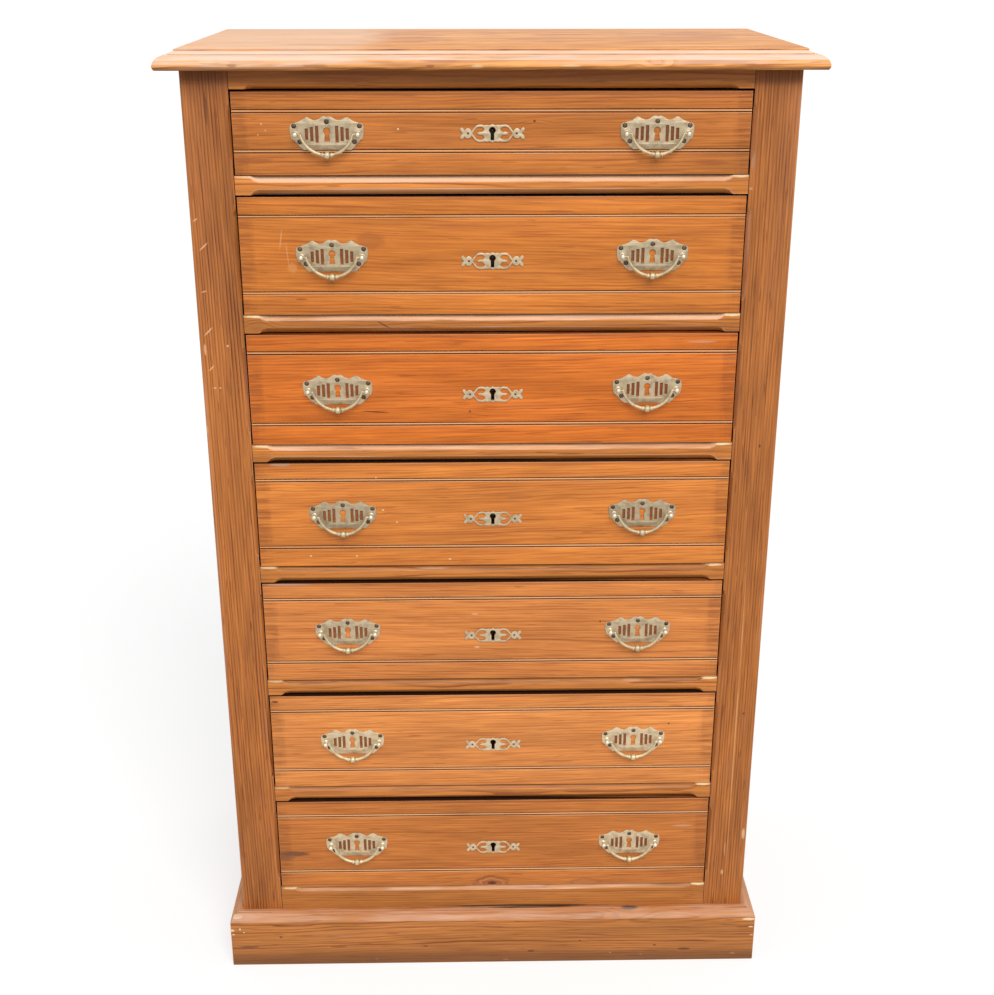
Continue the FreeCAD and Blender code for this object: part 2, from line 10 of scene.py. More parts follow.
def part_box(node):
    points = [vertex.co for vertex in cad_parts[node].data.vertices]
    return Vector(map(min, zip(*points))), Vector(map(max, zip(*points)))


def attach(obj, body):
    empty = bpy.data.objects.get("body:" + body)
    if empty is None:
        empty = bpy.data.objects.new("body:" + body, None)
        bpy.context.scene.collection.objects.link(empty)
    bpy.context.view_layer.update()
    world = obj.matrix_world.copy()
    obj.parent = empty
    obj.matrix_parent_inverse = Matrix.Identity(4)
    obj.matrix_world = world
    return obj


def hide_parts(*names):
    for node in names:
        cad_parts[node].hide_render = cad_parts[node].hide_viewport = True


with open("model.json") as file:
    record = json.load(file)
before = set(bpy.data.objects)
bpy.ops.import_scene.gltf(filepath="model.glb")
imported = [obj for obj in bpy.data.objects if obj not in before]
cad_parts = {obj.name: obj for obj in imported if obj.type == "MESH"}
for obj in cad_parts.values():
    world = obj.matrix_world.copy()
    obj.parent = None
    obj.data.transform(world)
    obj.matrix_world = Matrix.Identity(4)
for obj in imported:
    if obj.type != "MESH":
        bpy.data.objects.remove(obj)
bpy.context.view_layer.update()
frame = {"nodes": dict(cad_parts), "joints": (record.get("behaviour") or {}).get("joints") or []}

scene = bpy.context.scene
scene.view_settings.view_transform = "Standard"

# --- Floor, light and camera ---
# A plain pale studio floor under one broad soft light from above and in front, with an even
# pale surround. The camera stands two metres off, a little above the top, and looks down.

face_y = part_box("stile_left")[0].y
sun_strength = 2.35
sun_width = math.radians(38)
sun_height = math.radians(43)
sun_turn = math.radians(12)
surround_light = 0.52
floor_half = 60.0
floor_grey = 0.45
floor_glow = 0.58
lens_pixels = 1441.8
frame_pixels = 995
film_width = 36.0
far_clip = 200.0
camera_place = Vector((-0.0297, face_y - 1.9361, 1.5489))
camera_down = math.radians(21.685)
camera_right = math.radians(1.058)
camera_rise = 0.0164


def put(tree, kind, values=None, **settings):
    """Adds a node. Values fill its sockets, each with a number, a colour or another node's output."""
    made = tree.nodes.new(kind)
    for key, value in settings.items():
        setattr(made, key, value)
    for socket, value in (values or {}).items():
        if isinstance(value, bpy.types.NodeSocket):
            tree.links.new(value, made.inputs[socket])
        else:
            made.inputs[socket].default_value = value
    return made


def calc(tree, operation, *values, clamp=False):
    values = dict(enumerate(values))
    return put(tree, "ShaderNodeMath", values, operation=operation, use_clamp=clamp).outputs[0]


def new_material(name):
    """A new material, its node tree and its shader."""
    material = bpy.data.materials.new(name)
    material.use_nodes = True
    return material, material.node_tree, material.node_tree.nodes["Principled BSDF"]


def new_object(name, data):
    made = bpy.data.objects.new(name, data)
    scene.collection.objects.link(made)
    return made


def seen_or_mirrored(tree):
    """1 for rays from the camera and for those that gloss or glass sends on, otherwise 0."""
    path = put(tree, "ShaderNodeLightPath").outputs
    seen = calc(tree, "MAXIMUM", path["Is Camera Ray"], path["Is Glossy Ray"])
    return calc(tree, "MAXIMUM", seen, path["Is Transmission Ray"])


world = bpy.data.worlds.new("surround")
world.use_nodes = True
scene.world = world
surround = world.node_tree
backing = surround.nodes["Background"]
backing.inputs["Color"].default_value = (1, 1, 1, 1)
lift = calc(surround, "MULTIPLY_ADD", seen_or_mirrored(surround), 1 - surround_light, surround_light)
surround.links.new(lift, backing.inputs["Strength"])

sun = new_object("sun", bpy.data.lights.new("sun", "SUN"))
sun.data.energy = sun_strength
sun.data.angle = sun_width
sun.rotation_euler = (math.pi / 2 - sun_height, 0, sun_turn)

shape = bmesh.new()
bmesh.ops.create_grid(shape, x_segments=1, y_segments=1, size=floor_half)
floor_mesh = bpy.data.meshes.new("floor")
shape.to_mesh(floor_mesh)
shape.free()
floor = new_object("floor", floor_mesh)

studio, tree, surface = new_material("studio_floor")
surface.inputs["Base Color"].default_value = (floor_grey, floor_grey, floor_grey, 1)
surface.inputs["Roughness"].default_value = 1.0
surface.inputs["Specular IOR Level"].default_value = 0.0
shine = calc(tree, "MULTIPLY", seen_or_mirrored(tree), floor_glow)
glow = put(tree, "ShaderNodeEmission", {"Strength": shine})
both = put(tree, "ShaderNodeAddShader", {0: surface.outputs[0], 1: glow.outputs[0]})
tree.links.new(both.outputs[0], tree.nodes["Material Output"].inputs["Surface"])
floor_mesh.materials.append(studio)

camera = new_object("camera", bpy.data.cameras.new("camera"))
camera.data.sensor_width = film_width
camera.data.lens = lens_pixels / frame_pixels * film_width
camera.data.shift_y = camera_rise
camera.data.clip_end = far_clip
camera.location = camera_place
camera.rotation_euler = (math.pi / 2 - camera_down, 0, -camera_right)
scene.camera = camera

# --- Stiles ---
# Two upright posts of pitch pine, planed, stained and waxed, with hollow stopped chamfers beside
# each drawer. The rails are tenoned into them. The faces inside the openings are painted dark as the
# shade in the gaps beside the drawers, and shade is painted under the overhang of the top. The
# chamfers beside the upper drawers are rubbed pale and the lower ones darkened a little, the outer
# edges are rubbed pale, and a few knocks have gone through the stain.

dice = random.Random(7)
smooth_below = math.radians(36)
ease_above = math.radians(38)
arris = 0.0007
merge_gap = 1e-6
FLOAT = "NodeSocketFloat"
VECTOR = "NodeSocketVector"


def srgb(red, green, blue):
    """A colour named as on a paint chart, 0 to 255, as the light that it gives back."""
    parts = [part / 255 for part in (red, green, blue)]
    light = [part / 12.92 if part < 0.0405 else ((part + 0.055) / 1.055) ** 2.4 for part in parts]
    return (*light, 1.0)


def tinted(colour, red, green, blue):
    return (colour[0] * red, colour[1] * green, colour[2] * blue, 1.0)


def shaded(colour, factor):
    return tinted(colour, factor, factor, factor)


def scaled(tree, vector, factors):
    return put(tree, "ShaderNodeVectorMath", {0: vector, 1: factors}, operation="MULTIPLY").outputs[0]


def brighter(tree, colour, amount):
    return put(tree, "ShaderNodeVectorMath", {0: colour, 3: amount}, operation="SCALE").outputs[0]


def noise(tree, vector, detail=2.0, rough=0.5):
    values = {"Vector": vector, "Scale": 1.0, "Detail": detail, "Roughness": rough}
    return put(tree, "ShaderNodeTexNoise", values).outputs["Fac"]


def between(tree, value, low, high, to_low=0.0, to_high=1.0, soft=True):
    """Value taken from the range low to high to a new one, held at its ends."""
    values = {0: value, 1: low, 2: high, 3: to_low, 4: to_high}
    kind = "SMOOTHSTEP" if soft else "LINEAR"
    return put(tree, "ShaderNodeMapRange", values, interpolation_type=kind).outputs[0]


def blend(tree, amount, first, second):
    values = {0: amount, 6: first, 7: second}
    return put(tree, "ShaderNodeMix", values, data_type="RGBA").outputs[2]


def new_group(name, takes, gives):
    group = bpy.data.node_groups.new(name, "ShaderNodeTree")
    for label, kind in takes:
        group.interface.new_socket(label, in_out="INPUT", socket_type=kind)
    for label, kind in gives:
        group.interface.new_socket(label, in_out="OUTPUT", socket_type=kind)
    return group, put(group, "NodeGroupInput").outputs, put(group, "NodeGroupOutput")


def finish_group(group, out, **results):
    for label, socket in results.items():
        group.links.new(socket, out.inputs[label])


# Growth rings and fibres of sawn softwood. Board runs along the grain, across it and into it, in
# metres from the pith of the log, and Push bends the rings round knots. Each pace says how often a
# figure changes in a metre, along the grain and across it.
sway_pace = (1.6, 9, 9)
ripple_pace = (11, 70, 70)
patchy_pace = (6, 130, 130)
fibre_pace = (14, 700, 700)
flame_pace = (12, 230, 230)
cloud_pace = (3.0, 22, 22)
resin_pace = (22, 330, 330)
season_pace = 60.0
late_starts, late_full, late_ends = 0.42, 0.9, 0.93
rings, given, out = new_group(
    "growth_rings",
    (("Board", VECTOR), ("Ring", FLOAT), ("Wave", FLOAT), ("Push", FLOAT)),
    (("Late", FLOAT), ("Fibre", FLOAT), ("Flame", FLOAT), ("Cloud", FLOAT), ("Streak", FLOAT)),
)
board = given["Board"]


def figure(pace, detail, rough=0.5):
    return noise(rings, scaled(rings, board, pace), detail, rough)


axes = put(rings, "ShaderNodeSeparateXYZ", {0: board}).outputs
across = calc(rings, "POWER", axes[1], 2.0)
radius = calc(rings, "SQRT", calc(rings, "ADD", across, calc(rings, "POWER", axes[2], 2.0)))
sway = calc(rings, "SUBTRACT", figure(sway_pace, 2.0), 0.5)
ripple = calc(rings, "SUBTRACT", figure(ripple_pace, 1.5), 0.5)
bend = calc(rings, "MULTIPLY_ADD", ripple, 0.2, sway)
reach = calc(rings, "MULTIPLY_ADD", bend, given["Wave"], calc(rings, "ADD", radius, given["Push"]))
pace = {"W": calc(rings, "MULTIPLY", reach, season_pace), "Scale": 1.0, "Detail": 2.0}
seasons = put(rings, "ShaderNodeTexNoise", pace, noise_dimensions="1D").outputs["Fac"]
years = calc(rings, "MULTIPLY_ADD", seasons, 1.4, calc(rings, "DIVIDE", reach, given["Ring"]))
part = calc(rings, "FRACT", years)
rise = between(rings, part, late_starts, late_full)
fall = between(rings, part, late_ends, 1.0, 1.0, 0.0)
luck = {"W": calc(rings, "FLOOR", years)}
harvest = put(rings, "ShaderNodeTexWhiteNoise", luck, noise_dimensions="1D").outputs["Value"]
patchy = between(rings, figure(patchy_pace, 1.5), 0.3, 0.66, 0.3, 1.0)
strength = calc(rings, "MULTIPLY", calc(rings, "MULTIPLY_ADD", harvest, 0.6, 0.4), patchy)
late = calc(rings, "MULTIPLY", calc(rings, "MULTIPLY", rise, fall), strength)
fibre = figure(fibre_pace, 2.0, 0.6)
flame = figure(flame_pace, 3.0, 0.6)
cloud = figure(cloud_pace, 3.0, 0.6)
streak = between(rings, figure(resin_pace, 1.0), 0.66, 0.74)
finish_group(rings, out, Late=late, Fibre=fibre, Flame=flame, Cloud=cloud, Streak=streak)

# A soft-edged patch round the middle of its vector, ragged by the noise.
patch, given, out = new_group("patch", (("Vector", VECTOR), ("Ragged", FLOAT)), (("Mask", FLOAT),))
tears = noise(patch, scaled(patch, given["Vector"], (1.7, 1.7, 1.7)), 3.0, 0.7)
ragged = calc(patch, "SUBTRACT", tears, 0.5)
length = put(patch, "ShaderNodeVectorMath", {0: given["Vector"]}, operation="LENGTH").outputs["Value"]
edge = calc(patch, "MULTIPLY_ADD", ragged, given["Ragged"], length)
finish_group(patch, out, Mask=between(patch, edge, 1.0, 0.55))


def fill_group(tree, group, values):
    return put(tree, "ShaderNodeGroup", values, node_tree=group).outputs


def attribute(tree, name, kind="Fac"):
    return put(tree, "ShaderNodeAttribute", attribute_name=name).outputs[kind]


def around(tree, middle, half, turn=0.0):
    """Place on the piece, measured from a middle in half sizes of a patch."""
    place = put(tree, "ShaderNodeTexCoord").outputs["Object"]
    values = {"Vector": place, "Location": middle, "Rotation": (0, turn, 0), "Scale": half}
    return put(tree, "ShaderNodeMapping", values, vector_type="TEXTURE").outputs[0]


def spot(x, z, wide, high, colour, strength=0.8, turn=0.0, y=face_y, deep=0.02):
    """A mark on the front: where its middle is, its size, its colour and how strong it is."""
    return (x, y, z), (wide / 2, deep / 2, high / 2), turn, colour, strength


small_mark = 0.034
whole_board = 1.0


def marked(tree, colour, marks, flame):
    """Colour with marks on it. Large ones below full strength take to some fibres more than others."""
    streaky = between(tree, flame, 0.38, 0.6, 0.3, 1.0)
    for middle, half, turn, stain, strength in marks:
        mask = fill_group(tree, patch, {"Vector": around(tree, middle, half, turn), "Ragged": 0.8})["Mask"]
        if small_mark < max(half) < whole_board and strength < 1:
            mask = calc(tree, "MULTIPLY", mask, streaky)
        colour = blend(tree, calc(tree, "MULTIPLY", mask, strength), colour, stain)
    return colour


def pushed(tree, knots):
    """How far knots bend the rings. A knot is (middle, half size, push)."""
    push = 0.0
    for middle, half, far in knots:
        values = {0: around(tree, middle, half)}
        away = put(tree, "ShaderNodeVectorMath", values, operation="LENGTH").outputs["Value"]
        push = calc(tree, "ADD", between(tree, away, 1.0, 0.0, 0.0, far), push)
    return push


def finish_surface(tree, surface, colour, rough, height, depth, amount):
    """Colour and roughness of a shader, and its relief, whose full depth is in metres."""
    values = {"Height": height, "Distance": depth, "Strength": amount}
    relief = put(tree, "ShaderNodeBump", values).outputs[0]
    for label, socket in (("Base Color", colour), ("Roughness", rough), ("Normal", relief)):
        tree.links.new(socket, surface.inputs[label])


cloud_swing = 0.18
pine_depth = 0.00014


def waxed_pine(
    name, early, late, ring, wave=0.02, streaks=0.9, marks=(), knots=(), wear_and_highlight_colour=None, ground=0.3, hairs=0.09
):
    """Stained and waxed pitch pine. Ground is how far the stain has evened out early and late wood."""
    material, tree, surface = new_material(name)
    values = {"Board": attribute(tree, "grain", "Vector"), "Ring": ring, "Wave": wave}
    wood = fill_group(tree, rings, {**values, "Push": pushed(tree, knots)})
    flames = calc(tree, "MULTIPLY", calc(tree, "SUBTRACT", wood["Flame"], 0.5), streaks)
    lines = calc(tree, "MULTIPLY_ADD", wood["Late"], 1 - ground, ground)
    colour = blend(tree, calc(tree, "ADD", lines, flames), early, late)
    hair = between(tree, wood["Fibre"], 0.3, 0.7, 1 - hairs, 1 + hairs, soft=False)
    broad = between(tree, wood["Cloud"], 0.28, 0.72, 1 - cloud_swing, 1 + cloud_swing, soft=False)
    light = calc(tree, "MULTIPLY", calc(tree, "MULTIPLY", hair, broad), attribute(tree, "tone"))
    colour = brighter(tree, colour, light)
    colour = blend(tree, calc(tree, "MULTIPLY", wood["Streak"], 0.5), colour, shaded(late, 0.7))
    colour = marked(tree, colour, marks, wood["Flame"])
    # Wear and painted highlight turn the colour towards the pale tint; dirt and painted shade turn it
    # towards dark wax.
    doubt = calc(tree, "SUBTRACT", calc(tree, "ADD", wood["Cloud"], wood["Flame"]), 1.0)
    uneven = calc(tree, "MULTIPLY", doubt, 1.1)
    wear_and_highlight_mask = between(tree, calc(tree, "ADD", attribute(tree, "rubbed"), uneven), 0.15, 0.95)
    colour = blend(tree, wear_and_highlight_mask, colour, wear_and_highlight_colour or pale_wear)
    dirt_and_shade_mask = between(tree, calc(tree, "MULTIPLY_ADD", uneven, 0.4, attribute(tree, "soiled")), 0.1, 0.8)
    colour = blend(tree, dirt_and_shade_mask, colour, dark_wax_and_shade)
    rough = calc(tree, "MULTIPLY_ADD", wear_and_highlight_mask, 0.12, calc(tree, "MULTIPLY_ADD", wood["Late"], -0.1, 0.52))
    height = calc(tree, "MULTIPLY_ADD", wood["Fibre"], 0.5, wood["Late"])
    finish_surface(tree, surface, colour, rough, height, pine_depth, 0.6)
    surface.inputs["Specular IOR Level"].default_value = 0.3
    surface.inputs["Coat Weight"].default_value = 0.04
    surface.inputs["Coat Roughness"].default_value = 0.3
    return material


def solid_copy(node):
    """Merged copy of a node's mesh, its flat faces made whole again, with layers for wear and painted
    highlight, and for dirt and painted shade.
    """
    shape = bmesh.new()
    shape.from_mesh(frame["nodes"][node].data)
    bmesh.ops.remove_doubles(shape, verts=shape.verts, dist=merge_gap)
    bmesh.ops.dissolve_limit(shape, angle_limit=math.radians(0.5), verts=shape.verts, edges=shape.edges)
    shape.faces.layers.float.new("rubbed")
    shape.faces.layers.float.new("soiled")
    return shape


def ease(shape, width, chosen=None, segments=2):
    """Takes the sharpness off outer corners, and gives back the narrow new faces."""
    corners = [
        edge
        for edge in shape.edges
        if edge.is_manifold and edge.is_convex and edge.calc_face_angle() > ease_above
        if chosen is None or chosen(edge)
    ]
    made = bmesh.ops.bevel(
        shape, geom=corners, offset=width, affect="EDGES",
        segments=segments, profile=0.5, material=-1, clamp_overlap=True,
    )
    return made["faces"]


def paint(shape, layer, amount, faces):
    """Writes an amount on the faces in one layer: wear with painted highlight, or dirt with painted shade.
    """
    values = shape.faces.layers.float[layer]
    for face in faces:
        face[values] = amount


def boards_of(shape):
    """The separate solids in a mesh, each as a list of its corners."""
    waiting = dict.fromkeys(shape.verts)
    solids = []
    while waiting:
        corners = [waiting.popitem()[0]]
        for corner in corners:
            for edge in corner.link_edges:
                other = edge.other_vert(corner)
                if other in waiting:
                    del waiting[other]
                    corners.append(other)
        solids.append(corners)
    return solids


def lay_grain(shape, pith=None, tones=(0.94, 1.06), tone_at=None, slope=0.0, lean=0.0):
    """Writes on each solid where its wood lay in the log: along its length, across, and into it.

    Slope turns the grain across the face, and lean turns it into the board, which makes arches.
    """
    grain = shape.verts.layers.float_vector.new("grain")
    tone = shape.verts.layers.float.new("tone")
    for corners in boards_of(shape):
        low = [min(corner.co[axis] for corner in corners) for axis in range(3)]
        high = [max(corner.co[axis] for corner in corners) for axis in range(3)]
        along, across, into = sorted(range(3), key=lambda axis: low[axis] - high[axis])
        middle = [(a + b) / 2 for a, b in zip(low, high)]
        heart = pith or (dice.uniform(0.06, 0.24) * dice.choice((-1, 1)), dice.uniform(0.02, 0.12))
        shift = dice.uniform(-9, 9)
        depth = tone_at(middle) if tone_at else dice.uniform(*tones)
        for corner in corners:
            far, wide, deep = (corner.co[axis] - middle[axis] for axis in (along, across, into))
            corner[grain] = (far + shift, wide - heart[0] - slope * far, deep - heart[1] - lean * far)
            corner[tone] = depth


def show(shape, name, body, slot, material, *nodes):
    """Makes the mesh a piece that rides on a body and stands in for the nodes named."""
    for face in shape.faces:
        face.smooth = True
    for edge in shape.edges:
        edge.smooth = len(edge.link_faces) == 2 and edge.calc_face_angle() < smooth_below
    mesh = bpy.data.meshes.new(name)
    shape.to_mesh(mesh)
    shape.free()
    mesh.materials.append(material)
    piece = new_object(name, mesh)
    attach(piece, body)
    if nodes:
        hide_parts(*nodes)
    return piece


pale_wear = srgb(214, 152, 112)
# Dark wax, which also serves as painted shade.
dark_wax_and_shade = srgb(38, 17, 8)
cream = srgb(238, 208, 160)
scar = srgb(84, 40, 20)
dent = srgb(226, 168, 124)
# Painted shade, laid under the overhang of the top and along the gap above the plinth.
painted_shade = srgb(58, 26, 12)

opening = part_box("stile_right")[0].x
stile_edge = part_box("stile_right")[1].x
carcass_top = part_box("stile_right")[1].z
outer_wear = 0.0016
shade_under_top = spot(0, carcass_top, 4.0, 0.05, painted_shade, 0.4)
rubbed_strip = 0.0046
stile_early = srgb(192, 118, 56)
stile_late = srgb(102, 42, 8)
stile_wear = srgb(206, 146, 108)
stile_pith = {"left": (0.046, -0.022, -0.012), "right": (-0.13, -0.05, 0.004)}
stile_rings = {"left": (0.004, 0.01), "right": (0.004, 0.007)}
# Each mark: across, up, wide, high, its colour, how strong it is, and how far it is turned.
stile_marks = {
    "left": [
        (-0.3876, 1.1673, 0.018, 0.0026, dent, 0.9, -0.75),
        (-0.3962, 1.203, 0.009, 0.0026, dent, 0.8, -0.6),
        (-0.3915, 1.1061, 0.01, 0.0022, dent, 0.8, -0.3),
        (-0.3898, 1.0505, 0.02, 0.0028, dent, 0.9, -0.8), (-0.396, 1.025, 0.004, 0.02, dent, 0.8),
        (-0.389, 0.9986, 0.013, 0.0026, dent, 0.9, -0.8), (-0.3865, 0.9702, 0.005, 0.0034, dent, 0.9),
        (-0.379, 0.9702, 0.004, 0.003, dent, 0.8), (-0.3647, 1.0302, 0.004, 0.004, dent, 1.0),
        (-0.4025, 0.9088, 0.006, 0.016, dent, 0.8), (-0.3719, 1.346, 0.005, 0.05, scar, 0.6),
        (-0.387, 0.52, 0.01, 0.2, srgb(150, 84, 44), 0.4),
    ],
    "right": [
        (0.344, 1.242, 0.006, 0.004, dent, 0.6), (0.345, 1.279, 0.006, 0.03, srgb(176, 132, 100), 0.7),
        (0.38, 0.88, 0.004, 0.006, scar), (0.374, 0.43, 0.003, 0.66, srgb(222, 158, 100), 0.85),
        (0.385, 0.446, 0.005, 0.006, scar, 0.8), (0.37, 0.2, 0.0024, 0.036, dent, 0.6),
        (0.368, 0.156, 0.005, 0.011, dent, 0.9), (0.398, 0.228, 0.006, 0.024, cream, 0.7),
    ],
}
chamfer_wear = {
    "left": (("soiled", 0.1), ("rubbed", 0.3), ("rubbed", 0.3), *[("soiled", 0.12)] * 4),
    "right": (("rubbed", 0.45), ("rubbed", 0.6), ("rubbed", 0.4), *[("soiled", 0.12)] * 4),
}
drawer_count = 7
drawer_pitch = 0.1875
for side in ("left", "right"):
    node = "stile_" + side
    inward = 1 if side == "left" else -1
    shape = solid_copy(node)
    for face in shape.faces:
        if face.normal.y < -0.3 and abs(face.normal.x) > 0.3:
            row = min(drawer_count - 1, int((carcass_top - face.calc_center_median().z) / drawer_pitch))
            paint(shape, *chamfer_wear[side][row], [face])
    # The faces inside the openings, seen in the gaps beside the drawers, are painted dark as shade.
    paint(shape, "soiled", 0.9, [face for face in shape.faces if face.normal.x * inward > 0.9])
    outer = ease(shape, outer_wear, lambda edge: all(abs(v.co.x) > stile_edge - 1e-5 for v in edge.verts), 3)
    paint(shape, "rubbed", 0.85, outer)
    strip_x = -inward * (stile_edge - rubbed_strip)
    whole = list(shape.verts) + list(shape.edges) + list(shape.faces)
    bmesh.ops.bisect_plane(shape, geom=whole, plane_co=(strip_x, 0, 0), plane_no=(1, 0, 0))
    front = [face for face in shape.faces if face.normal.y < -0.9]
    paint(shape, "rubbed", 0.26, [face for face in front if abs(face.calc_center_median().x) > abs(strip_x)])
    paint(shape, "rubbed", 0.35, ease(shape, arris))
    across, into, slope = stile_pith[side]
    lay_grain(shape, (across, into), (1, 1), slope=slope)
    ring, wave = stile_rings[side]
    marks = [spot(*row) for row in stile_marks[side]] + [shade_under_top]
    finish = {"streaks": 1.0, "wear_and_highlight_colour": stile_wear, "ground": 0.24, "hairs": 0.22}
    wood = waxed_pine(node + "_pine", stile_early, stile_late, ring, wave, marks=marks, **finish)
    show(shape, node + "_post", "carcass", "pitch_pine", wood, node)

# --- Rails ---
# Eight rails tie the stiles together, with hollow stopped chamfers along the openings. Dust and
# hands have rubbed the upward chamfers pale, and that pale also stands as painted highlight where the
# drawer above would shade them; near the gap, the upward chamfers left unrubbed are painted darker.
# Shade is painted under the overhang of the top and along the gap above the plinth, and the ends have
# lost chips where drawers were forced.

rail_early = srgb(226, 143, 66)
rail_late = srgb(146, 76, 30)
rail_rows = (
    (1.383, 1.02, 0.00, 0.00), (1.2475, 1.08, 0.85, 0.3), (1.06, 0.86, 0.75, 0.25),
    (0.8725, 0.89, 0.6, 0.05), (0.685, 0.92, 0.00, 0.00), (0.4975, 0.93, 0.05, 0.00),
    (0.31, 0.97, 0.00, 0.00), (0.1225, 0.71, 0.42, 0.00),
)
pale_reach = 0.0045
rail_half = 0.0125
rail_marks = [
    shade_under_top,
    # Painted shadow along the gap where the plinth ledge has opened from the bottom rail.
    spot(0.043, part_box("plinth_front")[1].z, 0.28, 0.005, painted_shade, 1.0),
    spot(-0.149, 1.0588, 0.03, 0.0025, scar, 0.8, 0.5),
    spot(0.11, 0.87, 0.05, 0.003, scar, 0.5),
    spot(-0.09, 0.693, 0.06, 0.004, dent, 0.6),
    spot(0.21, 0.505, 0.04, 0.004, dent, 0.6),
]
chip_height = 0.0056
for z, *chips in (
    (1.259, (-0.32, 0.05, 0.6), (0.329, 0.03, 0.8)),
    (1.0712, (-0.315, 0.06, 1.0), (0.328, 0.034, 1.0)),
    (0.8838, (-0.322, 0.04, 1.0), (0.322, 0.044, 1.0)),
    (0.6962, (-0.326, 0.034, 0.6), (0.32, 0.044, 0.8)),
    (0.5088, (-0.328, 0.03, 0.5), (0.327, 0.034, 1.0)),
    (0.3212, (-0.328, 0.03, 0.4), (0.328, 0.03, 0.9)),
    (0.1338, (-0.325, 0.03, 0.7), (0.33, 0.028, 1.0)),
):
    rail_marks += [spot(x, z, wide, chip_height, cream, strength) for x, wide, strength in chips]
rail_knots = [((-0.318, face_y, 1.062), (0.03, 0.02, 0.012), 0.004)]
# The pale tint of the rails is wear and painted highlight on the upward chamfers.
rail_finish = {"ring": 0.0034, "marks": rail_marks, "knots": rail_knots, "wear_and_highlight_colour": srgb(244, 190, 150)}
rail_wood = waxed_pine("rail_pine", rail_early, rail_late, **rail_finish)


def rail_at(z):
    """Middle, tone, and the pale of wear and painted highlight above and below, of the rail at this height.
    """
    return min(rail_rows, key=lambda row: abs(row[0] - z))


for node in ("top_rail", "drawer_rails", "bottom_rail"):
    shape = solid_copy(node)
    # Upward chamfers are painted pale as wear and painted highlight; near the gap, those left unrubbed are
    # painted darker.
    for face in [face for face in shape.faces if face.normal.y < -0.2 and abs(face.normal.z) > 0.2]:
        height = face.calc_center_median().z
        row_z, _, pale_above, pale_below = rail_at(height)
        near_edge = abs(height - row_z) > rail_half - pale_reach
        amount = pale_above if face.normal.z > 0 else pale_below
        paint(shape, "rubbed", amount if near_edge else 0.2 * amount, [face])
        if near_edge and face.normal.z > 0 and pale_above < 0.3:
            paint(shape, "soiled", 0.3, [face])
    for face in ease(shape, arris):
        row_paleness = rail_at(face.calc_center_median().z)[2]
        paint(shape, "rubbed", 0.1 + 0.55 * row_paleness, [face])
    ends = [face for face in shape.faces if abs(face.calc_center_median().x) > opening - arris]
    joints = [face for face in ends if face.normal.y < -0.2 and abs(face.normal.x) > 0.2]
    paint(shape, "rubbed", 0.0, joints)
    paint(shape, "soiled", 1.0, joints)
    heart = (0.12, -0.09) if node == "bottom_rail" else None
    lay_grain(shape, heart, tone_at=lambda middle: rail_at(middle[2])[1])
    show(shape, node + "_wood", "carcass", "pitch_pine", rail_wood, node)

# --- Sides ---
# Each side is one wide board of pitch pine behind the stile, flat-sawn, so that its figure runs in
# long pointed arches. It has had less wear than the front.

side_early = srgb(204, 130, 68)
side_late = srgb(116, 56, 22)
for side in ("left", "right"):
    node = "side_" + side
    outward = -1 if side == "left" else 1
    x = outward * stile_edge
    scuffs = [
        ((x, 0.02, 0.62), (0.01, 0.01, 0.03), 0.0, dent, 0.3),
        ((x, -0.08, 1.12), (0.01, 0.004, 0.05), 0.0, scar, 0.5),
        ((x, 0.12, 0.3), (0.01, 0.009, 0.013), 0.0, scar, 0.9),
    ]
    knots = [((x, 0.12, 0.3), (0.03, 0.05, 0.12), 0.014)]
    finish = {"ring": 0.0052, "wave": 0.03, "streaks": 0.7, "marks": scuffs, "knots": knots}
    side_wood = waxed_pine(node + "_pine", side_early, side_late, **finish)
    shape = solid_copy(node)
    paint(shape, "rubbed", 0.45, ease(shape, arris))
    lay_grain(shape, (0.03, -0.07 * outward), (1, 1), lean=0.035 * outward)
    show(shape, node + "_board", "carcass", "pitch_pine", side_wood, node)

# --- Inner frame ---
# Plain deal, left as it was planed: runners in the housings of the sides, guides, stops, kickers,
# back rails and glue blocks, all glued in. It is yellowed, dusty and unwaxed.

deal_depth = 0.0002


def bare_deal(name, tone, ring=0.0036, wave=0.03):
    """Unfinished softwood, yellowed and a little dusty."""
    material, tree, surface = new_material(name)
    values = {"Board": attribute(tree, "grain", "Vector"), "Ring": ring, "Wave": wave, "Push": 0.0}
    wood = fill_group(tree, rings, values)
    late = tinted(tone, 0.62, 0.5, 0.4)
    colour = blend(tree, calc(tree, "MULTIPLY", wood["Late"], 0.75), shaded(tone, 1.06), late)
    broad = between(tree, wood["Cloud"], 0.28, 0.72, 0.84, 1.14, soft=False)
    colour = brighter(tree, colour, calc(tree, "MULTIPLY", broad, attribute(tree, "tone")))
    colour = blend(tree, calc(tree, "MULTIPLY", wood["Streak"], 0.35), colour, shaded(late, 0.8))
    colour = blend(tree, calc(tree, "MULTIPLY", attribute(tree, "rubbed"), 0.3), colour, shaded(tone, 1.15))
    rough = calc(tree, "MULTIPLY_ADD", wood["Late"], -0.08, 0.78)
    height = calc(tree, "MULTIPLY_ADD", wood["Fibre"], 0.9, wood["Late"])
    finish_surface(tree, surface, colour, rough, height, deal_depth, 0.6)
    return material


inner_deal = bare_deal("inner_deal", srgb(196, 152, 102))
for node in ("rear_rails", "drawer_runners", "drawer_guides", "drawer_stops", "kickers", "glue_blocks"):
    shape = solid_copy(node)
    paint(shape, "rubbed", 0.5, ease(shape, arris, segments=1))
    lay_grain(shape, tones=(0.88, 1.1))
    show(shape, node + "_deal", "carcass", "deal", inner_deal, node)

# --- Back ---
# Six upright deal boards in the rebates of the sides, sawn rough and grey with age, nailed to the
# rails at the top and the foot with cut nails.

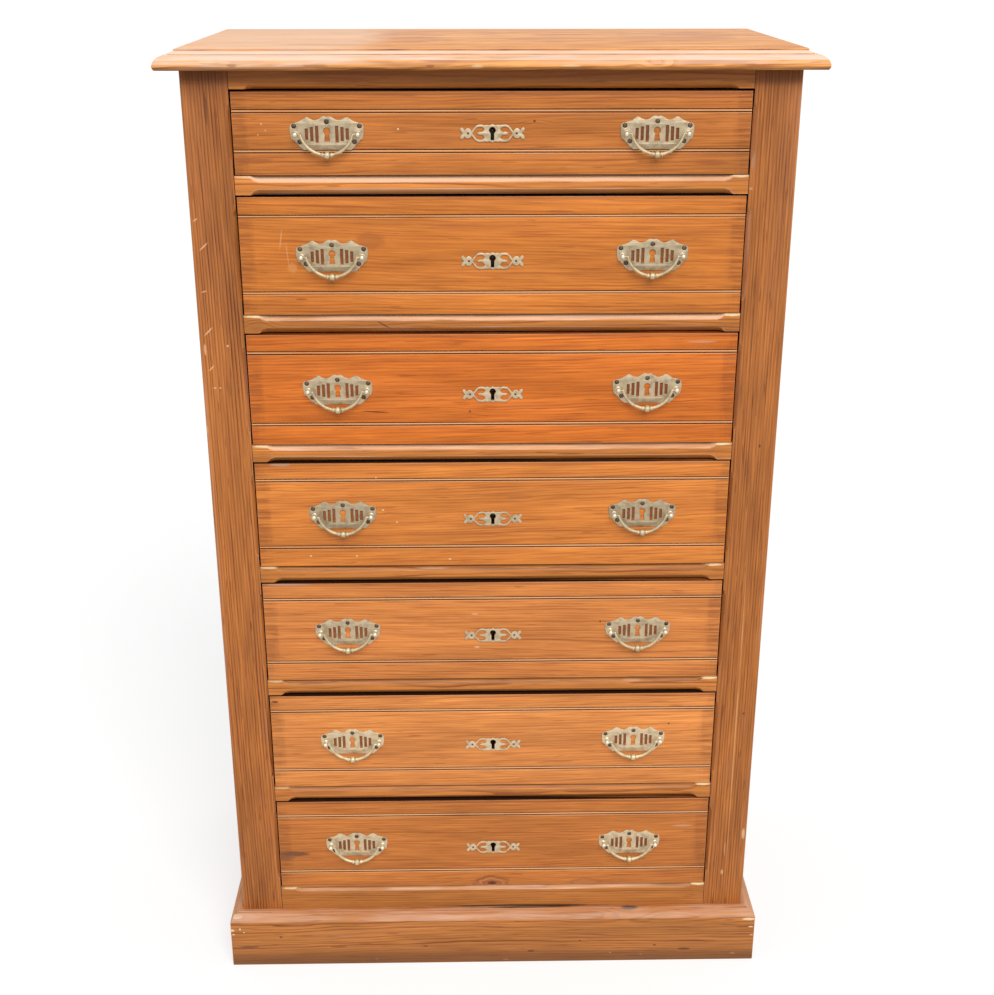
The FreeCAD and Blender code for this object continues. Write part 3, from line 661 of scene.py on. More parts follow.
back_deal = bare_deal("back_deal", srgb(172, 130, 88), ring=0.005, wave=0.05)
shape = solid_copy("back_boards")
ease(shape, arris, segments=1)
lay_grain(shape, tones=(0.8, 1.12))
show(shape, "back_boards_deal", "carcass", "deal", back_deal, "back_boards")

# --- Plinth ---
# Three moulded boards of pitch pine, mitred at the front corners and nailed round the foot of the
# carcass. Shoes and brooms have worn the rounded shoulder pink and chipped the corners, and the
# ledge has opened a little from the rail.

plinth_low, plinth_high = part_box("plinth_front")
ledge_z = plinth_high.z
ledge_y = face_y - 0.008
plinth_early = srgb(200, 128, 64)
plinth_late = srgb(116, 58, 22)
plinth_marks = [
    # The first mark is painted shadow: a near-black line where the ledge has opened from the rail.
    spot(0.043, ledge_z, 0.28, 0.006, srgb(12, 6, 4), 1.0, y=face_y, deep=0.016),
    spot(0.22, ledge_z, 0.034, 0.01, srgb(58, 42, 38), 1.0, y=ledge_y, deep=0.014),
    spot(0.175, ledge_z, 0.04, 0.004, srgb(52, 30, 22), 0.9, y=face_y, deep=0.006),
    spot(-0.413, 0.09, 0.026, 0.007, srgb(240, 214, 188), 1.0, y=plinth_low.y + 0.007, deep=0.014),
    spot(-0.413, 0.083, 0.026, 0.008, srgb(128, 92, 74), 0.8, y=plinth_low.y + 0.004, deep=0.012),
    spot(0.413, 0.079, 0.026, 0.006, cream, 0.9, y=plinth_low.y, deep=0.02),
]
for x, z, wide, high, colour in (
    (-0.421, 0.068, 0.01, 0.006, cream), (-0.408, 0.07, 0.003, 0.006, cream),
    (-0.419, 0.06, 0.006, 0.003, cream), (-0.402, 0.064, 0.003, 0.003, cream),
    (0.417, 0.064, 0.01, 0.003, cream), (0.419, 0.048, 0.008, 0.003, dent),
    (-0.343, 0.054, 0.006, 0.004, scar), (0.061, 0.021, 0.014, 0.004, scar),
    (0.14, 0.04, 0.005, 0.004, scar), (0.262, 0.03, 0.006, 0.004, scar),
    (-0.11, 0.033, 0.01, 0.003, scar), (0.31, 0.022, 0.026, 0.005, scar),
    (0.19, 0.016, 0.004, 0.003, cream), (0.24, 0.012, 0.005, 0.002, cream),
    (-0.19, 0.009, 0.006, 0.002, dent), (0.02, 0.005, 0.012, 0.003, dent),
    (0.39, 0.012, 0.01, 0.005, dent), (-0.395, 0.035, 0.04, 0.006, srgb(120, 74, 46)),
):
    plinth_marks.append(spot(x, z, wide, high, colour, 0.85, y=plinth_low.y))
foot_shade = spot(0, 0, 4.0, 0.05, srgb(104, 62, 28), 0.6, y=plinth_low.y, deep=2.0)
plinth_marks.append(foot_shade)
plinth_knots = [((0.22, plinth_low.y, 0.1), (0.06, 0.03, 0.03), 0.008)]
plinth_finish = {"ring": 0.0036, "wave": 0.03, "knots": plinth_knots, "wear_and_highlight_colour": srgb(212, 164, 132)}
plinth_wood = waxed_pine("plinth_pine", plinth_early, plinth_late, marks=plinth_marks, **plinth_finish)
for node in ("plinth_front", "plinth_left", "plinth_right"):
    shape = solid_copy(node)
    shoulder = [face for face in shape.faces if 0.15 < face.normal.z < 0.95]
    paint(shape, "rubbed", 0.5, shoulder)
    paint(shape, "rubbed", 0.4, [face for face in shape.faces if face.normal.z > 0.95])
    paint(shape, "rubbed", 0.6, ease(shape, arris))
    lay_grain(shape, (0.09, -0.1), (1, 1))
    show(shape, node + "_board", "carcass", "pitch_pine", plinth_wood, node)

# --- Top ---
# One wide board of pitch pine, held by glue blocks under it, with a sloping band and a quirked
# ovolo run on its front and ends. A painted sheen lies over the field, palest on the left. The
# upward faces of the moulding are painted pale as wear and painted highlight, its quirk walls are
# painted darker, and painted shade darkens the faces underneath.

top_low, top_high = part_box("top_board")
band_z = 0.0058
quirk_z = 0.009
nose_y = top_low.y
top_early = srgb(250, 176, 98)
top_late = srgb(176, 96, 38)
top_wear_and_highlight = srgb(240, 206, 182)
top_marks = [
    # The first mark is a painted sheen: a large pale patch over the left of the field.
    ((-0.33, 0.0, top_high.z), (0.24, 0.6, 0.03), 0.0, srgb(244, 204, 172), 0.8),
    ((-0.12, 0.06, top_high.z), (0.07, 0.1, 0.01), 0.0, srgb(184, 112, 62), 0.6),
    ((-0.09, -0.06, top_high.z), (0.06, 0.03, 0.01), 0.0, srgb(176, 104, 56), 0.55),
    ((0.1, -0.02, top_high.z), (0.09, 0.03, 0.01), 0.0, srgb(188, 120, 72), 0.5),
    ((0.27, 0.05, top_high.z), (0.12, 0.12, 0.01), 0.0, srgb(184, 116, 66), 0.55),
    ((-0.22, -0.13, top_high.z), (0.08, 0.02, 0.01), 0.0, srgb(168, 136, 112), 0.45),
]
for x, z, wide, high, colour in (
    (-0.363, 1.4064, 0.03, 0.004, cream), (-0.33, 1.402, 0.016, 0.006, srgb(150, 96, 62)),
    (-0.079, 1.401, 0.014, 0.005, srgb(132, 74, 40)), (-0.019, 1.4005, 0.018, 0.005, cream),
    (-0.225, 1.4015, 0.04, 0.006, srgb(156, 92, 52)), (0.209, 1.4056, 0.024, 0.005, srgb(196, 124, 72)),
    (0.1, 1.401, 0.03, 0.004, cream), (0.33, 1.403, 0.02, 0.004, srgb(150, 92, 54)),
):
    top_marks.append(spot(x, z, wide, high, colour, 0.55, y=nose_y, deep=0.02))
streak_count = 24
for _ in range(streak_count):
    middle = (dice.uniform(-0.18, 0.38), dice.uniform(-0.16, 0.2), top_high.z)
    half = (dice.uniform(0.03, 0.11), dice.uniform(0.004, 0.012), 0.01)
    streak_colour = dice.choice((srgb(170, 96, 50), srgb(188, 116, 62), srgb(250, 196, 130)))
    top_marks.append((middle, half, 0.0, streak_colour, dice.uniform(0.5, 0.95)))
top_knots = [((0.209, nose_y, 1.406), (0.03, 0.02, 0.012), 0.006)]
top_finish = {"ring": 0.0042, "wave": 0.05, "streaks": 2.2, "knots": top_knots, "wear_and_highlight_colour": top_wear_and_highlight}
top_wood = waxed_pine("top_pine", top_early, top_late, marks=top_marks, **top_finish)
shape = solid_copy("top_board")
ease(shape, arris)
for corner in shape.verts:
    corner.co.x = max(top_low.x, min(top_high.x, corner.co.x))
    corner.co.y = max(top_low.y, corner.co.y)
# Quirk walls painted darker, upward faces painted pale as wear and painted highlight, and faces underneath
# painted with shade.
for face in shape.faces:
    drop = top_high.z - face.calc_center_median().z
    if drop > 1e-4 and face.normal.y < 0.9:
        if abs(face.normal.z) < 0.25 and drop < quirk_z:
            paint(shape, "soiled", 0.34, [face])
        elif face.normal.z > 0.25:
            paint(shape, "rubbed", 0.8 if drop < band_z or face.normal.z > 0.6 else 0.4, [face])
        elif face.normal.z < -0.1:
            paint(shape, "soiled", 0.4, [face])
lay_grain(shape, (0.1, -0.14), (1, 1), lean=0.02)
show(shape, "top_board_wood", "carcass", "pitch_pine", top_wood, "top_board")

# --- Drawer fronts ---
# Seven boards of pitch pine, chosen to match but not quite alike, with two scratch beads run along
# each. The beads are rubbed pale as wear and painted highlight, palest on their upper half and bare
# where they face down. Painted shade darkens the wood behind the slots of the brass, the ends and the
# top edge of each front, the top face seen in the gap above it and the inside of the keyhole.

bead_width = 0.0055
bead_insets = {"small": (0.0245, 0.0307), "large": (0.0258, 0.0297)}
handle_x = 0.216
slots_from_handle = 0.0198
front_tones = (
    srgb(198, 119, 53), srgb(210, 124, 50), srgb(213, 115, 39), srgb(216, 130, 57),
    srgb(212, 131, 66), srgb(220, 139, 72), srgb(193, 116, 53),
)
front_piths = (
    (0.22, -0.05, 0.01), (-0.2, -0.09, -0.018), (0.2, -0.1, 0.014), (-0.26, -0.07, 0.02),
    (0.24, -0.06, -0.012), (-0.24, -0.08, 0.016), (0.2, -0.05, 0.008),
)
front_wear_and_highlight = srgb(224, 164, 112)
bloom = srgb(206, 164, 136)
near_front = 0.002
skin = 0.001
bead_lip = 0.0008
keyhole_half = 0.006
# Painted shade behind the slots of the brass, at the ends of each front and along its top edge.
slot_shade = (0.036, 0.034, srgb(96, 52, 30), 0.75)
end_shade = (0.05, 0.2, srgb(112, 56, 26), 0.4)
top_shade = (4.0, 0.012, srgb(112, 56, 26), 0.35)


def frame_joint(name):
    """Where the pivot of a joint lies."""
    return Vector(next(joint["pos_m"] for joint in frame["joints"] if joint["name"] == name))


front_marks = {
    1: [
        (-0.1232, 1.3203, 0.003, 0.003, cream, 1.0), (0.055, 1.33, 0.005, 0.004, scar),
        (-0.301, 1.327, 0.003, 0.003, cream, 0.6), (-0.296, 1.319, 0.003, 0.003, cream, 0.35),
        (-0.306, 1.313, 0.003, 0.003, cream, 0.35), (-0.312, 1.28, 0.06, 0.01, srgb(156, 84, 44), 0.5),
        (0.29, 1.276, 0.06, 0.006, srgb(150, 80, 40), 0.5),
    ],
    2: [
        (0.09, 1.213, 0.05, 0.004, srgb(150, 78, 36), 0.5),
        (-0.284, 1.176, 0.0024, 0.034, srgb(238, 180, 128), 0.4, 0.16),
        (-0.276, 1.156, 0.002, 0.04, srgb(238, 180, 128), 0.35, -0.08),
        (-0.27, 1.138, 0.016, 0.016, srgb(232, 168, 108), 0.35),
        (-0.164, 1.174, 0.05, 0.03, srgb(168, 92, 42), 0.5),
        (-0.06, 1.196, 0.11, 0.01, srgb(168, 94, 44), 0.5), (-0.26, 1.095, 0.02, 0.003, scar, 0.5),
    ],
    3: [
        (-0.1638, 0.9339, 0.046, 0.0022, scar, 0.9, 0.05), (-0.032, 0.934, 0.004, 0.004, scar),
        (0.12, 0.93, 0.03, 0.002, scar, 0.5), (0.29, 1.033, 0.05, 0.004, bloom, 0.5),
    ],
    4: [
        (-0.1669, 0.8352, 0.003, 0.004, cream), (-0.1583, 0.786, 0.004, 0.003, cream),
        (-0.1386, 0.7672, 0.003, 0.003, cream), (-0.2653, 0.7147, 0.004, 0.003, cream),
        (-0.1983, 0.7141, 0.004, 0.003, cream), (-0.0627, 0.7083, 0.005, 0.003, cream),
        (-0.3024, 0.856, 0.036, 0.006, bloom, 0.8), (0.04, 0.805, 0.05, 0.01, srgb(164, 92, 44), 0.4),
    ],
    5: [
        (-0.3, 0.669, 0.084, 0.007, bloom, 0.8), (-0.0266, 0.6189, 0.012, 0.004, dent),
        (-0.024, 0.5641, 0.01, 0.005, dent), (0.16, 0.605, 0.004, 0.004, scar),
    ],
    6: [
        (-0.3313, 0.4736, 0.012, 0.005, scar), (0.1, 0.365, 0.06, 0.005, srgb(170, 96, 52), 0.5),
        (0.27, 0.43, 0.004, 0.004, scar),
    ],
    7: [
        (-0.3168, 0.1991, 0.062, 0.011, srgb(98, 64, 42), 0.8),
        (-0.329, 0.194, 0.036, 0.018, srgb(130, 86, 56), 0.6),
        (-0.002, 0.1385, 0.066, 0.036, srgb(104, 52, 22), 0.9),
        (-0.002, 0.1385, 0.058, 0.028, srgb(212, 134, 76), 0.9),
        (-0.002, 0.1385, 0.044, 0.019, srgb(128, 66, 30), 0.8),
        (-0.002, 0.1385, 0.034, 0.013, srgb(182, 98, 52), 0.8), (-0.002, 0.14, 0.018, 0.008, scar, 0.9),
        (0.149, 0.137, 0.066, 0.026, srgb(140, 76, 36), 0.5),
        (0.149, 0.137, 0.054, 0.019, srgb(202, 124, 68), 0.6),
        (0.2072, 0.153, 0.08, 0.004, srgb(140, 76, 40), 0.6), (0.3, 0.245, 0.04, 0.005, bloom, 0.5),
    ],
}
front_knots = {
    1: [((0.055, face_y, 1.33), (0.03, 0.02, 0.012), 0.004)],
    3: [((-0.032, face_y, 0.934), (0.028, 0.02, 0.01), 0.003)],
    7: [
        ((-0.002, face_y, 0.1385), (0.11, 0.02, 0.034), 0.016),
        ((0.149, face_y, 0.137), (0.1, 0.02, 0.03), 0.01),
    ],
}
numbers = range(1, drawer_count + 1)
for number in numbers:
    body = "drawer_%d" % number
    node = body + "_front"
    low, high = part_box(node)
    grip_z = frame_joint(body.replace("drawer", "bail") + "_left_swing").z
    shape = solid_copy(node)
    front_corners = ease(shape, arris, lambda edge: all(v.co.y < low.y + near_front for v in edge.verts))
    paint(shape, "rubbed", 0.4, front_corners)
    top_inset, foot_inset = bead_insets["small" if number == 1 else "large"]
    # Bead faces are painted pale as wear and painted highlight, palest on the upper half.
    for bead in (high.z - top_inset, low.z + foot_inset):
        for face in shape.faces:
            middle = face.calc_center_median()
            on_bead = abs(middle.z - bead) < bead_width / 2 + arris and middle.y < low.y + near_front
            if on_bead and abs(face.normal.z) < 0.99:
                bare = 0.85 if middle.z > bead - bead_lip else 0.5
                paint(shape, "rubbed", bare if face.normal.z > -0.2 else 0.0, [face])
    # Painted shade: the top face, seen in the gap above the front, and the faces inside the keyhole are
    # painted dark.
    for face in shape.faces:
        middle = face.calc_center_median()
        if face.normal.z > 0.9 and middle.z > high.z - skin:
            paint(shape, "soiled", 0.5, [face])
        if abs(middle.x) < keyhole_half and middle.y > low.y + skin:
            paint(shape, "soiled", 1.0, [face])
    across, into, slope = front_piths[number - 1]
    lay_grain(shape, (across, into), (1, 1), slope=slope)
    tone = front_tones[number - 1]
    early = tinted(tone, 1.16, 1.2, 1.2)
    late = tinted(tone, 0.66, 0.54, 0.48)
    marks = [spot(*row) for row in front_marks[number]]
    for side in (-1, 1):
        for inner in (-1, 1):
            x = side * handle_x + inner * slots_from_handle
            marks.append(spot(x, grip_z, *slot_shade))
        marks.append(spot(side * high.x, grip_z, *end_shade))
    marks.append(spot(0, high.z, *top_shade))
    finish = {"ring": 0.0042, "wave": 0.025, "streaks": 1.7, "wear_and_highlight_colour": front_wear_and_highlight}
    knots = front_knots.get(number, ())
    wood = waxed_pine(node + "_pine", early, late, marks=marks, knots=knots, **finish)
    show(shape, node + "_board", body, "pitch_pine", wood, node)

# --- Drawer boxes ---
# Thin deal sides dovetailed to the front, a housed back and a bottom slid into grooves. The wood
# was planed and left bare.

box_deal = bare_deal("box_deal", srgb(206, 164, 114))
thin_arris = 0.0004
for number in numbers:
    body = "drawer_%d" % number
    shape = solid_copy(body + "_box")
    paint(shape, "rubbed", 0.5, ease(shape, thin_arris, segments=1))
    lay_grain(shape, tones=(0.92, 1.08))
    show(shape, body + "_boards", body, "deal", box_deal, body + "_box")

# --- Handle plates ---
# Cast and pierced brass, scalloped round the edge, each held by five dull iron pins. Two turned
# posts with ball heads carry the bail. Hands have kept the balls bright.

tarnish_pace = (110, 110, 110)
pit_pace = (900, 900, 900)
pit_depth = 0.00008


def old_brass(name, tone, roughness, tarnish, toned=True):
    """Worn brass: bright where it is rubbed, brown in the clouds of tarnish."""
    material, tree, surface = new_material(name)
    place = put(tree, "ShaderNodeTexCoord").outputs["Object"]
    cloud = noise(tree, scaled(tree, place, tarnish_pace), 3.0, 0.6)
    fine = noise(tree, scaled(tree, place, pit_pace), 2.0, 0.6)
    brown = tinted(tone, 0.42, 0.38, 0.34)
    colour = blend(tree, between(tree, cloud, 0.42, 0.72, 0.0, tarnish), tone, brown)
    if toned:
        colour = brighter(tree, colour, attribute(tree, "tone"))
    surface.inputs["Metallic"].default_value = 1.0
    rough = calc(tree, "MULTIPLY_ADD", cloud, 0.25, roughness - 0.12)
    finish_surface(tree, surface, colour, rough, fine, pit_depth, 0.5)
    return material


plate_brass = old_brass("plate_brass", srgb(194, 176, 146), 0.5, 0.5)
ball_brass = old_brass("ball_brass", srgb(222, 214, 190), 0.5, 0.25)
bail_brass = old_brass("bail_brass", srgb(202, 186, 152), 0.6, 0.5)
pin_iron = old_brass("pin_iron", srgb(104, 90, 76), 0.55, 0.7)

row_tones = (0.9, 0.86, 0.94, 0.84, 1.0, 1.24, 1.18)
plate_thickness = 0.0015
rim = 0.0004
post_offset = 0.0408
slot_width = 0.004
slot_middle = -0.0005
slots = ((0.013, 0.021), (0.0198, 0.0178), (0.0266, 0.0142))
pin_holes = ((0, 0.0152), (0.0427, 0.0098), (0.0356, -0.0103))
pin_hole_radius = 0.0031
# Outlines are given in millimetres, across and up from the middle, with a 1 for a sharp corner.
crown = (
    (0.0, 21.4, 1), (3.2, 22.3, 0), (6.4, 21.6, 0), (9.2, 19.8, 1),
    (12.2, 17.9, 0), (16.2, 17.2, 0), (20.6, 18.8, 0), (24.4, 21.0, 1),
    (27.6, 21.0, 1), (31.0, 18.6, 0), (36.2, 15.7, 0), (41.8, 13.9, 1),
    (45.6, 12.9, 0), (48.0, 10.4, 0), (48.3, 6.0, 0), (48.1, 1.0, 1),
    (47.2, -3.6, 0), (46.2, -6.8, 1), (43.2, -8.4, 0), (41.4, -10.8, 1),
    (38.6, -13.2, 0), (36.4, -16.4, 1), (34.0, -18.4, 0), (31.2, -20.6, 1),
)


def metres(outline):
    return [(x / 1000, z / 1000, corner) for x, z, corner in outline]


def mirrored_outline(right_half):
    """Whole outline from its right half, whose ends lie on the middle line or face across it."""
    left_half = [(-x, z, corner) for x, z, corner in reversed(right_half) if x > 0]
    return list(right_half) + left_half


def circle_points(x, z, radius, count=8):
    turns = [2 * math.pi * step / count for step in range(count)]
    return [(x + radius * math.cos(turn), z + radius * math.sin(turn), False) for turn in turns]


def slot_points(x, width, middle, height):
    half = width / 2
    up = height / 2
    corners = ((-half, -up), (half, -up), (half, up), (-half, up))
    return [(x + dx, middle + dz, True) for dx, dz in corners]


def key_opening(x, z, radius, neck, foot_width, foot):
    """Keyhole: a round head over a spreading slot."""
    start = math.asin(neck / 2 / radius)
    count = 7
    turns = [start + 2 * (math.pi - start) * step / count for step in range(count + 1)]
    head = [[x - radius * math.sin(turn), z - radius * math.cos(turn), False] for turn in turns]
    head[0][2] = True
    head[-1][2] = True
    return head + [(x + foot_width / 2, foot, True), (x - foot_width / 2, foot, True)]


def welded(shape):
    """Joins the corners that meet, and turns the faces outwards."""
    bmesh.ops.remove_doubles(shape, verts=shape.verts, dist=merge_gap)
    bmesh.ops.recalc_face_normals(shape, faces=shape.faces)
    return shape


def curve_shape(curve, place=Matrix()):
    """The mesh that a curve makes, in its place."""
    holder = new_object("curve", curve)
    mesh = bpy.data.meshes.new_from_object(holder)
    bpy.data.objects.remove(holder)
    mesh.transform(place)
    shape = bmesh.new()
    shape.from_mesh(mesh)
    bpy.data.meshes.remove(mesh)
    return welded(shape)


def sheet_brass(loops, centre):
    """Pierced sheet with rounded edges: the first loop is its outline and the others are holes."""
    curve = bpy.data.curves.new("sheet", "CURVE")
    curve.dimensions = "2D"
    curve.fill_mode = "BOTH"
    curve.extrude = plate_thickness / 2 - rim
    curve.bevel_depth = rim
    curve.bevel_resolution = 1
    curve.offset = -rim
    curve.resolution_u = 3
    for loop in loops:
        spline = curve.splines.new("BEZIER")
        spline.bezier_points.add(len(loop) - 1)
        spline.use_cyclic_u = True
        for point, (x, z, corner) in zip(spline.bezier_points, loop):
            point.co = (x, z, 0)
            point.handle_left_type = point.handle_right_type = "VECTOR" if corner else "AUTO"
    stand = Matrix.Rotation(math.pi / 2, 4, "X")
    return curve_shape(curve, Matrix.Translation(centre + Vector((0, -plate_thickness / 2, 0))) @ stand)


outwards = Vector((0, -1, 0))
inwards = Vector((0, 1, 0))


def turned(profile, centre, along, steps=20):
    """Turned piece: the profile is (distance along the axis, radius)."""
    shape = bmesh.new()
    corners = [shape.verts.new((distance, radius, 0)) for distance, radius in profile]
    line = [shape.edges.new(pair) for pair in zip(corners, corners[1:])]
    bmesh.ops.spin(
        shape, geom=corners + line, cent=(0, 0, 0), axis=(1, 0, 0),
        angle=2 * math.pi, steps=steps, use_merge=True,
    )
    welded(shape)
    turn = Vector((1, 0, 0)).rotation_difference(along).to_matrix().to_4x4()
    bmesh.ops.transform(shape, matrix=Matrix.Translation(centre) @ turn, verts=shape.verts)
    return shape


def gathered(shapes):
    """Several meshes as one."""
    whole = bmesh.new()
    for shape in shapes:
        mesh = bpy.data.meshes.new("part")
        shape.to_mesh(mesh)
        shape.free()
        whole.from_mesh(mesh)
        bpy.data.meshes.remove(mesh)
    return whole


def toned(shape, amount):
    layer = shape.verts.layers.float.new("tone")
    for corner in shape.verts:
        corner[layer] = amount
    return shape


plate_loops = [mirrored_outline(metres(crown))]
plate_loops.append(key_opening(0, 0.0034, 0.0046, 0.0048, 0.0076, -0.0098))
plate_pins = [(side * x, z) for side in (-1, 1) for x, z in pin_holes if x > 0 or side > 0]
for side in (-1, 1):
    for offset, height in slots:
        plate_loops.append(slot_points(side * offset, slot_width, slot_middle, height))
for x, z in plate_pins:
    plate_loops.append(circle_points(x, z, pin_hole_radius))

ball_profile = [(0.0, 0.0034), (0.0006, 0.0034), (0.0012, 0.0026), (0.003, 0.0019), (0.0052, 0.0019)]
ball_reach = 0.0085
ball_radius = 0.0037
for step in range(9):
    turn = math.radians(-60 + 150 * step / 8)
    ball_profile.append((ball_reach + ball_radius * math.sin(turn), ball_radius * math.cos(turn)))
pin_profile = [(0.0, 0.0029), (0.0007, 0.0029), (0.0012, 0.0024), (0.0015, 0.0013), (0.0016, 0.0)]
handles = [(number, side) for number in numbers for side in ("left", "right")]
for number, side in handles:
    body = "drawer_%d" % number
    label = "%d_%s" % (number, side)
    pivot = frame_joint("bail_" + label + "_swing")
    centre = Vector((pivot.x, face_y, pivot.z))
    tone = row_tones[number - 1]
    plate = sheet_brass(plate_loops, centre)
    nodes = [body + "_fittings"] if side == "left" else []
    show(toned(plate, tone), "plate_" + label, body, "brass", plate_brass, *nodes)
    feet = [centre + Vector((way * post_offset, -plate_thickness, 0)) for way in (-1, 1)]
    posts = gathered([turned(ball_profile, foot, outwards) for foot in feet])
    show(toned(posts, 0.94 + 0.06 * tone), "posts_" + label, body, "brass", ball_brass)
    pins = [turned(pin_profile, centre + Vector((x, 0, z)), outwards, 12) for x, z in plate_pins]
    show(toned(gathered(pins), 1.0), "pins_" + label, body, "brass", pin_iron)

# --- Bails ---
# Cast brass, bent to a bow that thickens towards a turned disc between two collars. The ends turn
# out into the ball heads, and the bail swings on them.

bail_radius = 0.0353
bail_drop = 0.0264
bar = 0.0023
thin_bar = 0.0018
pin = 0.00105
pivot_end = 0.0394
pin_root = 0.0364
bend = (0.0356, 0.0002)
bend_bar = 0.0014
knob_profile = [
    (0.0092, 0.0023), (0.008, 0.0024), (0.007, 0.0031), (0.0061, 0.0034),
    (0.0052, 0.0033), (0.0045, 0.0025), (0.0038, 0.0025), (0.0032, 0.0037),
    (0.0026, 0.0046), (0.0013, 0.005),
]


def swept(points):
    """Round bar along a path that lies flat: points are (across, up, radius)."""
    curve = bpy.data.curves.new("bar", "CURVE")
    curve.dimensions = "3D"
    curve.bevel_depth = 1.0
    curve.bevel_resolution = 5
    curve.use_fill_caps = True
    line = curve.splines.new("POLY")
    line.points.add(len(points) - 1)
    for point, (x, z, radius) in zip(line.points, points):
        point.co = (x, 0, z, 1)
        point.radius = radius
    return curve_shape(curve)


swing = math.acos((bail_radius - bail_drop) / bail_radius)
knob_turn = math.asin(knob_profile[0][0] / bail_radius)
bow_steps = 14
bow = [(pivot_end, 0, pin), (pin_root, 0, pin), (*bend, bend_bar)]
for step in range(bow_steps):
    turn = swing - (swing - knob_turn) * step / bow_steps
    thick = thin_bar + (bar - thin_bar) * min(1, 2 * step / bow_steps)
    bow.append((bail_radius * math.sin(turn), bail_radius * (1 - math.cos(turn)) - bail_drop, thick))
for x, radius in knob_profile:
    bow.append((x, bail_radius - math.sqrt(bail_radius**2 - x**2) - bail_drop, radius))
bow = [(-x, z, radius) for x, z, radius in bow] + list(reversed(bow))
for number, side in handles:
    body = "bail_%d_%s" % (number, side)
    shape = swept(bow)
    bmesh.ops.translate(shape, vec=frame_joint(body + "_swing"), verts=shape.verts)
    tone = 0.5 + 0.5 * row_tones[number - 1]
    show(toned(shape, tone), body + "_brass", body, "brass", bail_brass, body)

# --- Escutcheons ---
# A pierced brass plate round each keyhole, with a tongue in each open arm and a floret at its end,
# held by a pin through each floret.

escutcheon_edge = (
    (0.0, 12.2, 1), (1.8, 10.9, 0), (4.4, 10.3, 1), (7.4, 10.9, 0),
    (10.2, 10.2, 1), (12.6, 10.9, 0), (19.4, 10.7, 0), (22.2, 8.8, 0),
    (27.2, 2.8, 1), (28.8, 5.0, 0), (32.2, 6.6, 0), (35.2, 5.4, 0),
    (36.4, 3.8, 1), (38.0, 6.2, 0), (40.4, 7.5, 0), (42.2, 5.6, 0),
    (41.0, 2.6, 0), (38.6, 0.0, 1),
)
escutcheon_loop = (
    (26.2, 0.0, 1), (20.6, 7.4, 1), (13.6, 8.2, 0), (10.2, 5.4, 1),
    (13.0, 2.2, 0), (18.4, 1.6, 0), (20.4, 0.0, 0),
)
floret_pin = 0.0318
escutcheon_pin = [(0.0, 0.0016), (0.0016, 0.0016), (0.002, 0.001), (0.0021, 0.0)]
small_key_rise = 0.0003
large_key_rise = -0.0064
upper = metres(escutcheon_edge)
right = upper + [(x, -h, corner) for x, h, corner in reversed(upper[:-1])]
escutcheon_loops = [mirrored_outline(right)]
arm = metres(escutcheon_loop)
arm += [(x, -h, corner) for x, h, corner in reversed(arm[1:-1])]
for side in (-1, 1):
    escutcheon_loops.append([(side * x, h, corner) for x, h, corner in arm])
escutcheon_loops.append(key_opening(0, 0.0037, 0.0045, 0.0046, 0.0046, -0.0087))
key_places = {}
for number in numbers:
    body = "drawer_%d" % number
    low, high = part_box(body + "_front")
    rise = small_key_rise if number == 1 else large_key_rise
    key_places[number] = Vector((0, face_y, (low.z + high.z) / 2 + rise))
    shape = sheet_brass(escutcheon_loops, key_places[number])
    tone = 1.08 * row_tones[number - 1] ** 0.5
    show(toned(shape, tone), "escutcheon_%d" % number, body, "brass", plate_brass)
    feet = [key_places[number] + Vector((side * floret_pin, 0, 0)) for side in (-1, 1)]
    pins = gathered([turned(escutcheon_pin, foot, outwards, 10) for foot in feet])
    show(toned(pins, 0.8), "escutcheon_pins_%d" % number, body, "brass", pin_iron)

# --- Locks and bolts ---
# A cast lock let into the back of each front and held by four screws, dark with oil, with a drill
# pin for the hollow key. Its steel bolt rises into the rail above.

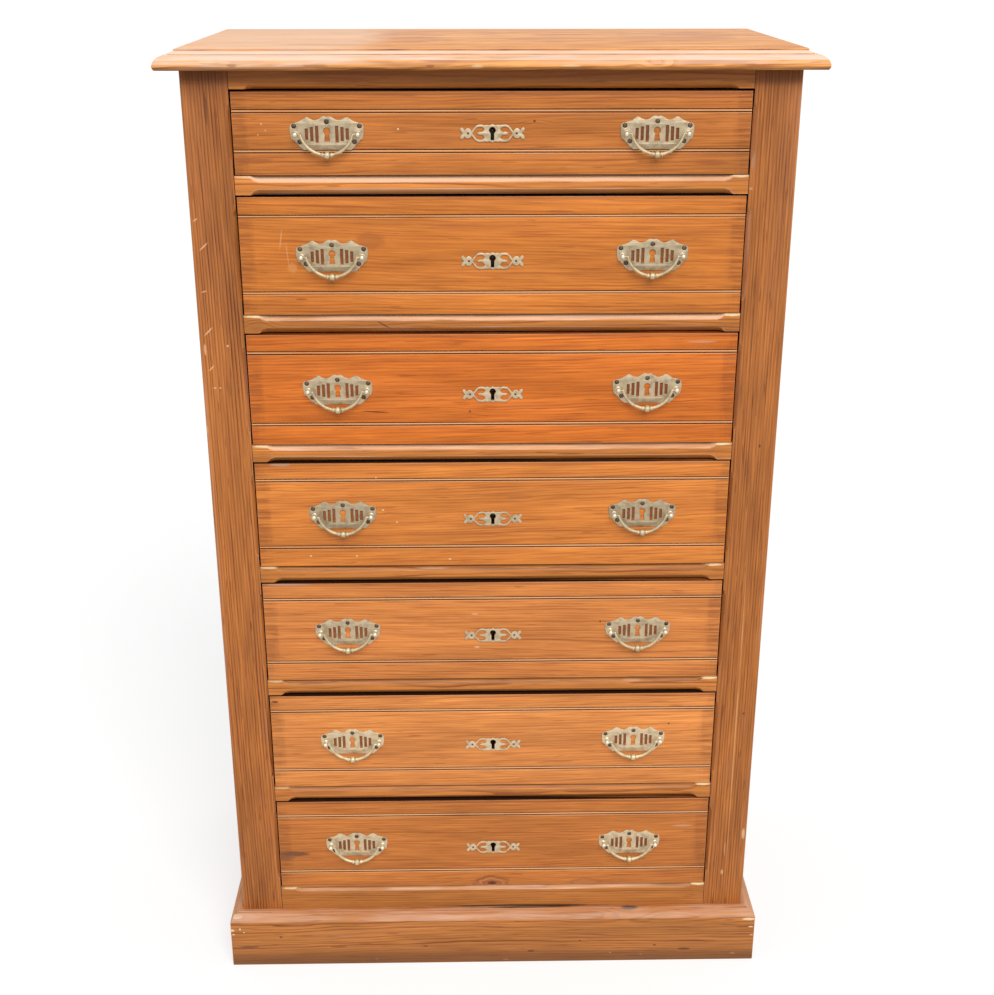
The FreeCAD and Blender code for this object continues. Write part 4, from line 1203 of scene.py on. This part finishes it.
lock_iron = old_brass("lock_iron", srgb(88, 80, 70), 0.5, 0.8)
steel = old_brass("bolt_steel", srgb(150, 148, 144), 0.35, 0.6, toned=False)
front_thickness = 0.022
screw_x = 0.023
screw_z = 0.021
screw_profile = [(0.0, 0.0024), (0.0002, 0.0024), (0.0007, 0.0017), (0.0009, 0.0)]
drill_pin = [(0.0, 0.0012), (0.012, 0.0012), (0.0126, 0.0008), (0.0128, 0.0)]
drill_place = Vector((0, 0.0185, 0.0037))
case_ease = 0.0005
for number in numbers:
    body = "drawer_%d" % number
    key = key_places[number]
    case = solid_copy(body + "_fittings")
    brass = []
    for corners in boards_of(case):
        if min(corner.co.y for corner in corners) < face_y + skin:
            brass += corners
    bmesh.ops.delete(case, geom=brass, context="VERTS")
    ease(case, case_ease)
    show(toned(case, 1.0), "lock_%d" % number, body, "brass", lock_iron)
    seats = [Vector((dx * screw_x, front_thickness, dz * screw_z)) for dx in (-1, 1) for dz in (-1, 1)]
    screws = [turned(screw_profile, key + seat, inwards, 12) for seat in seats]
    post = turned(drill_pin, key + drill_place, outwards, 10)
    show(toned(gathered(screws + [post]), 1.6), "lock_screws_%d" % number, body, "brass", lock_iron)
    bolt = frame["nodes"]["lock_bolt_%d" % number]
    bolt.data.materials.clear()
    bolt.data.materials.append(steel)

# --- Nails ---
# Cut iron nails, gone brown, through the back boards into the back rails: two to a board at each
# end, driven by eye, with their heads all but flush.

back_low, back_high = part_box("back_boards")
rail_low, rail_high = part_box("rear_rails")
nail_profile = [(0.0, 0.0028), (0.0003, 0.0028), (0.0006, 0.0018), (0.0007, 0.0)]
nail_sink = 0.0007
nail_inset = 0.012
nail_stray = 0.004
nail_spread = 0.3
board_count = 6
board_width = (back_high.x - back_low.x) / board_count
nail_iron = old_brass("nail_iron", srgb(70, 60, 54), 0.6, 0.8)
nails = []
for index in range(board_count):
    middle = back_low.x + board_width * (index + 0.5)
    for side in (-nail_spread, nail_spread):
        for z in (rail_high.z - nail_inset, rail_low.z + nail_inset):
            height = z + dice.uniform(-nail_stray, nail_stray)
            head = Vector((middle + side * board_width, back_high.y - nail_sink, height))
            nails.append(turned(nail_profile, head, inwards, 8))
show(toned(gathered(nails), 1.0), "back_nails", "carcass", "steel", nail_iron)
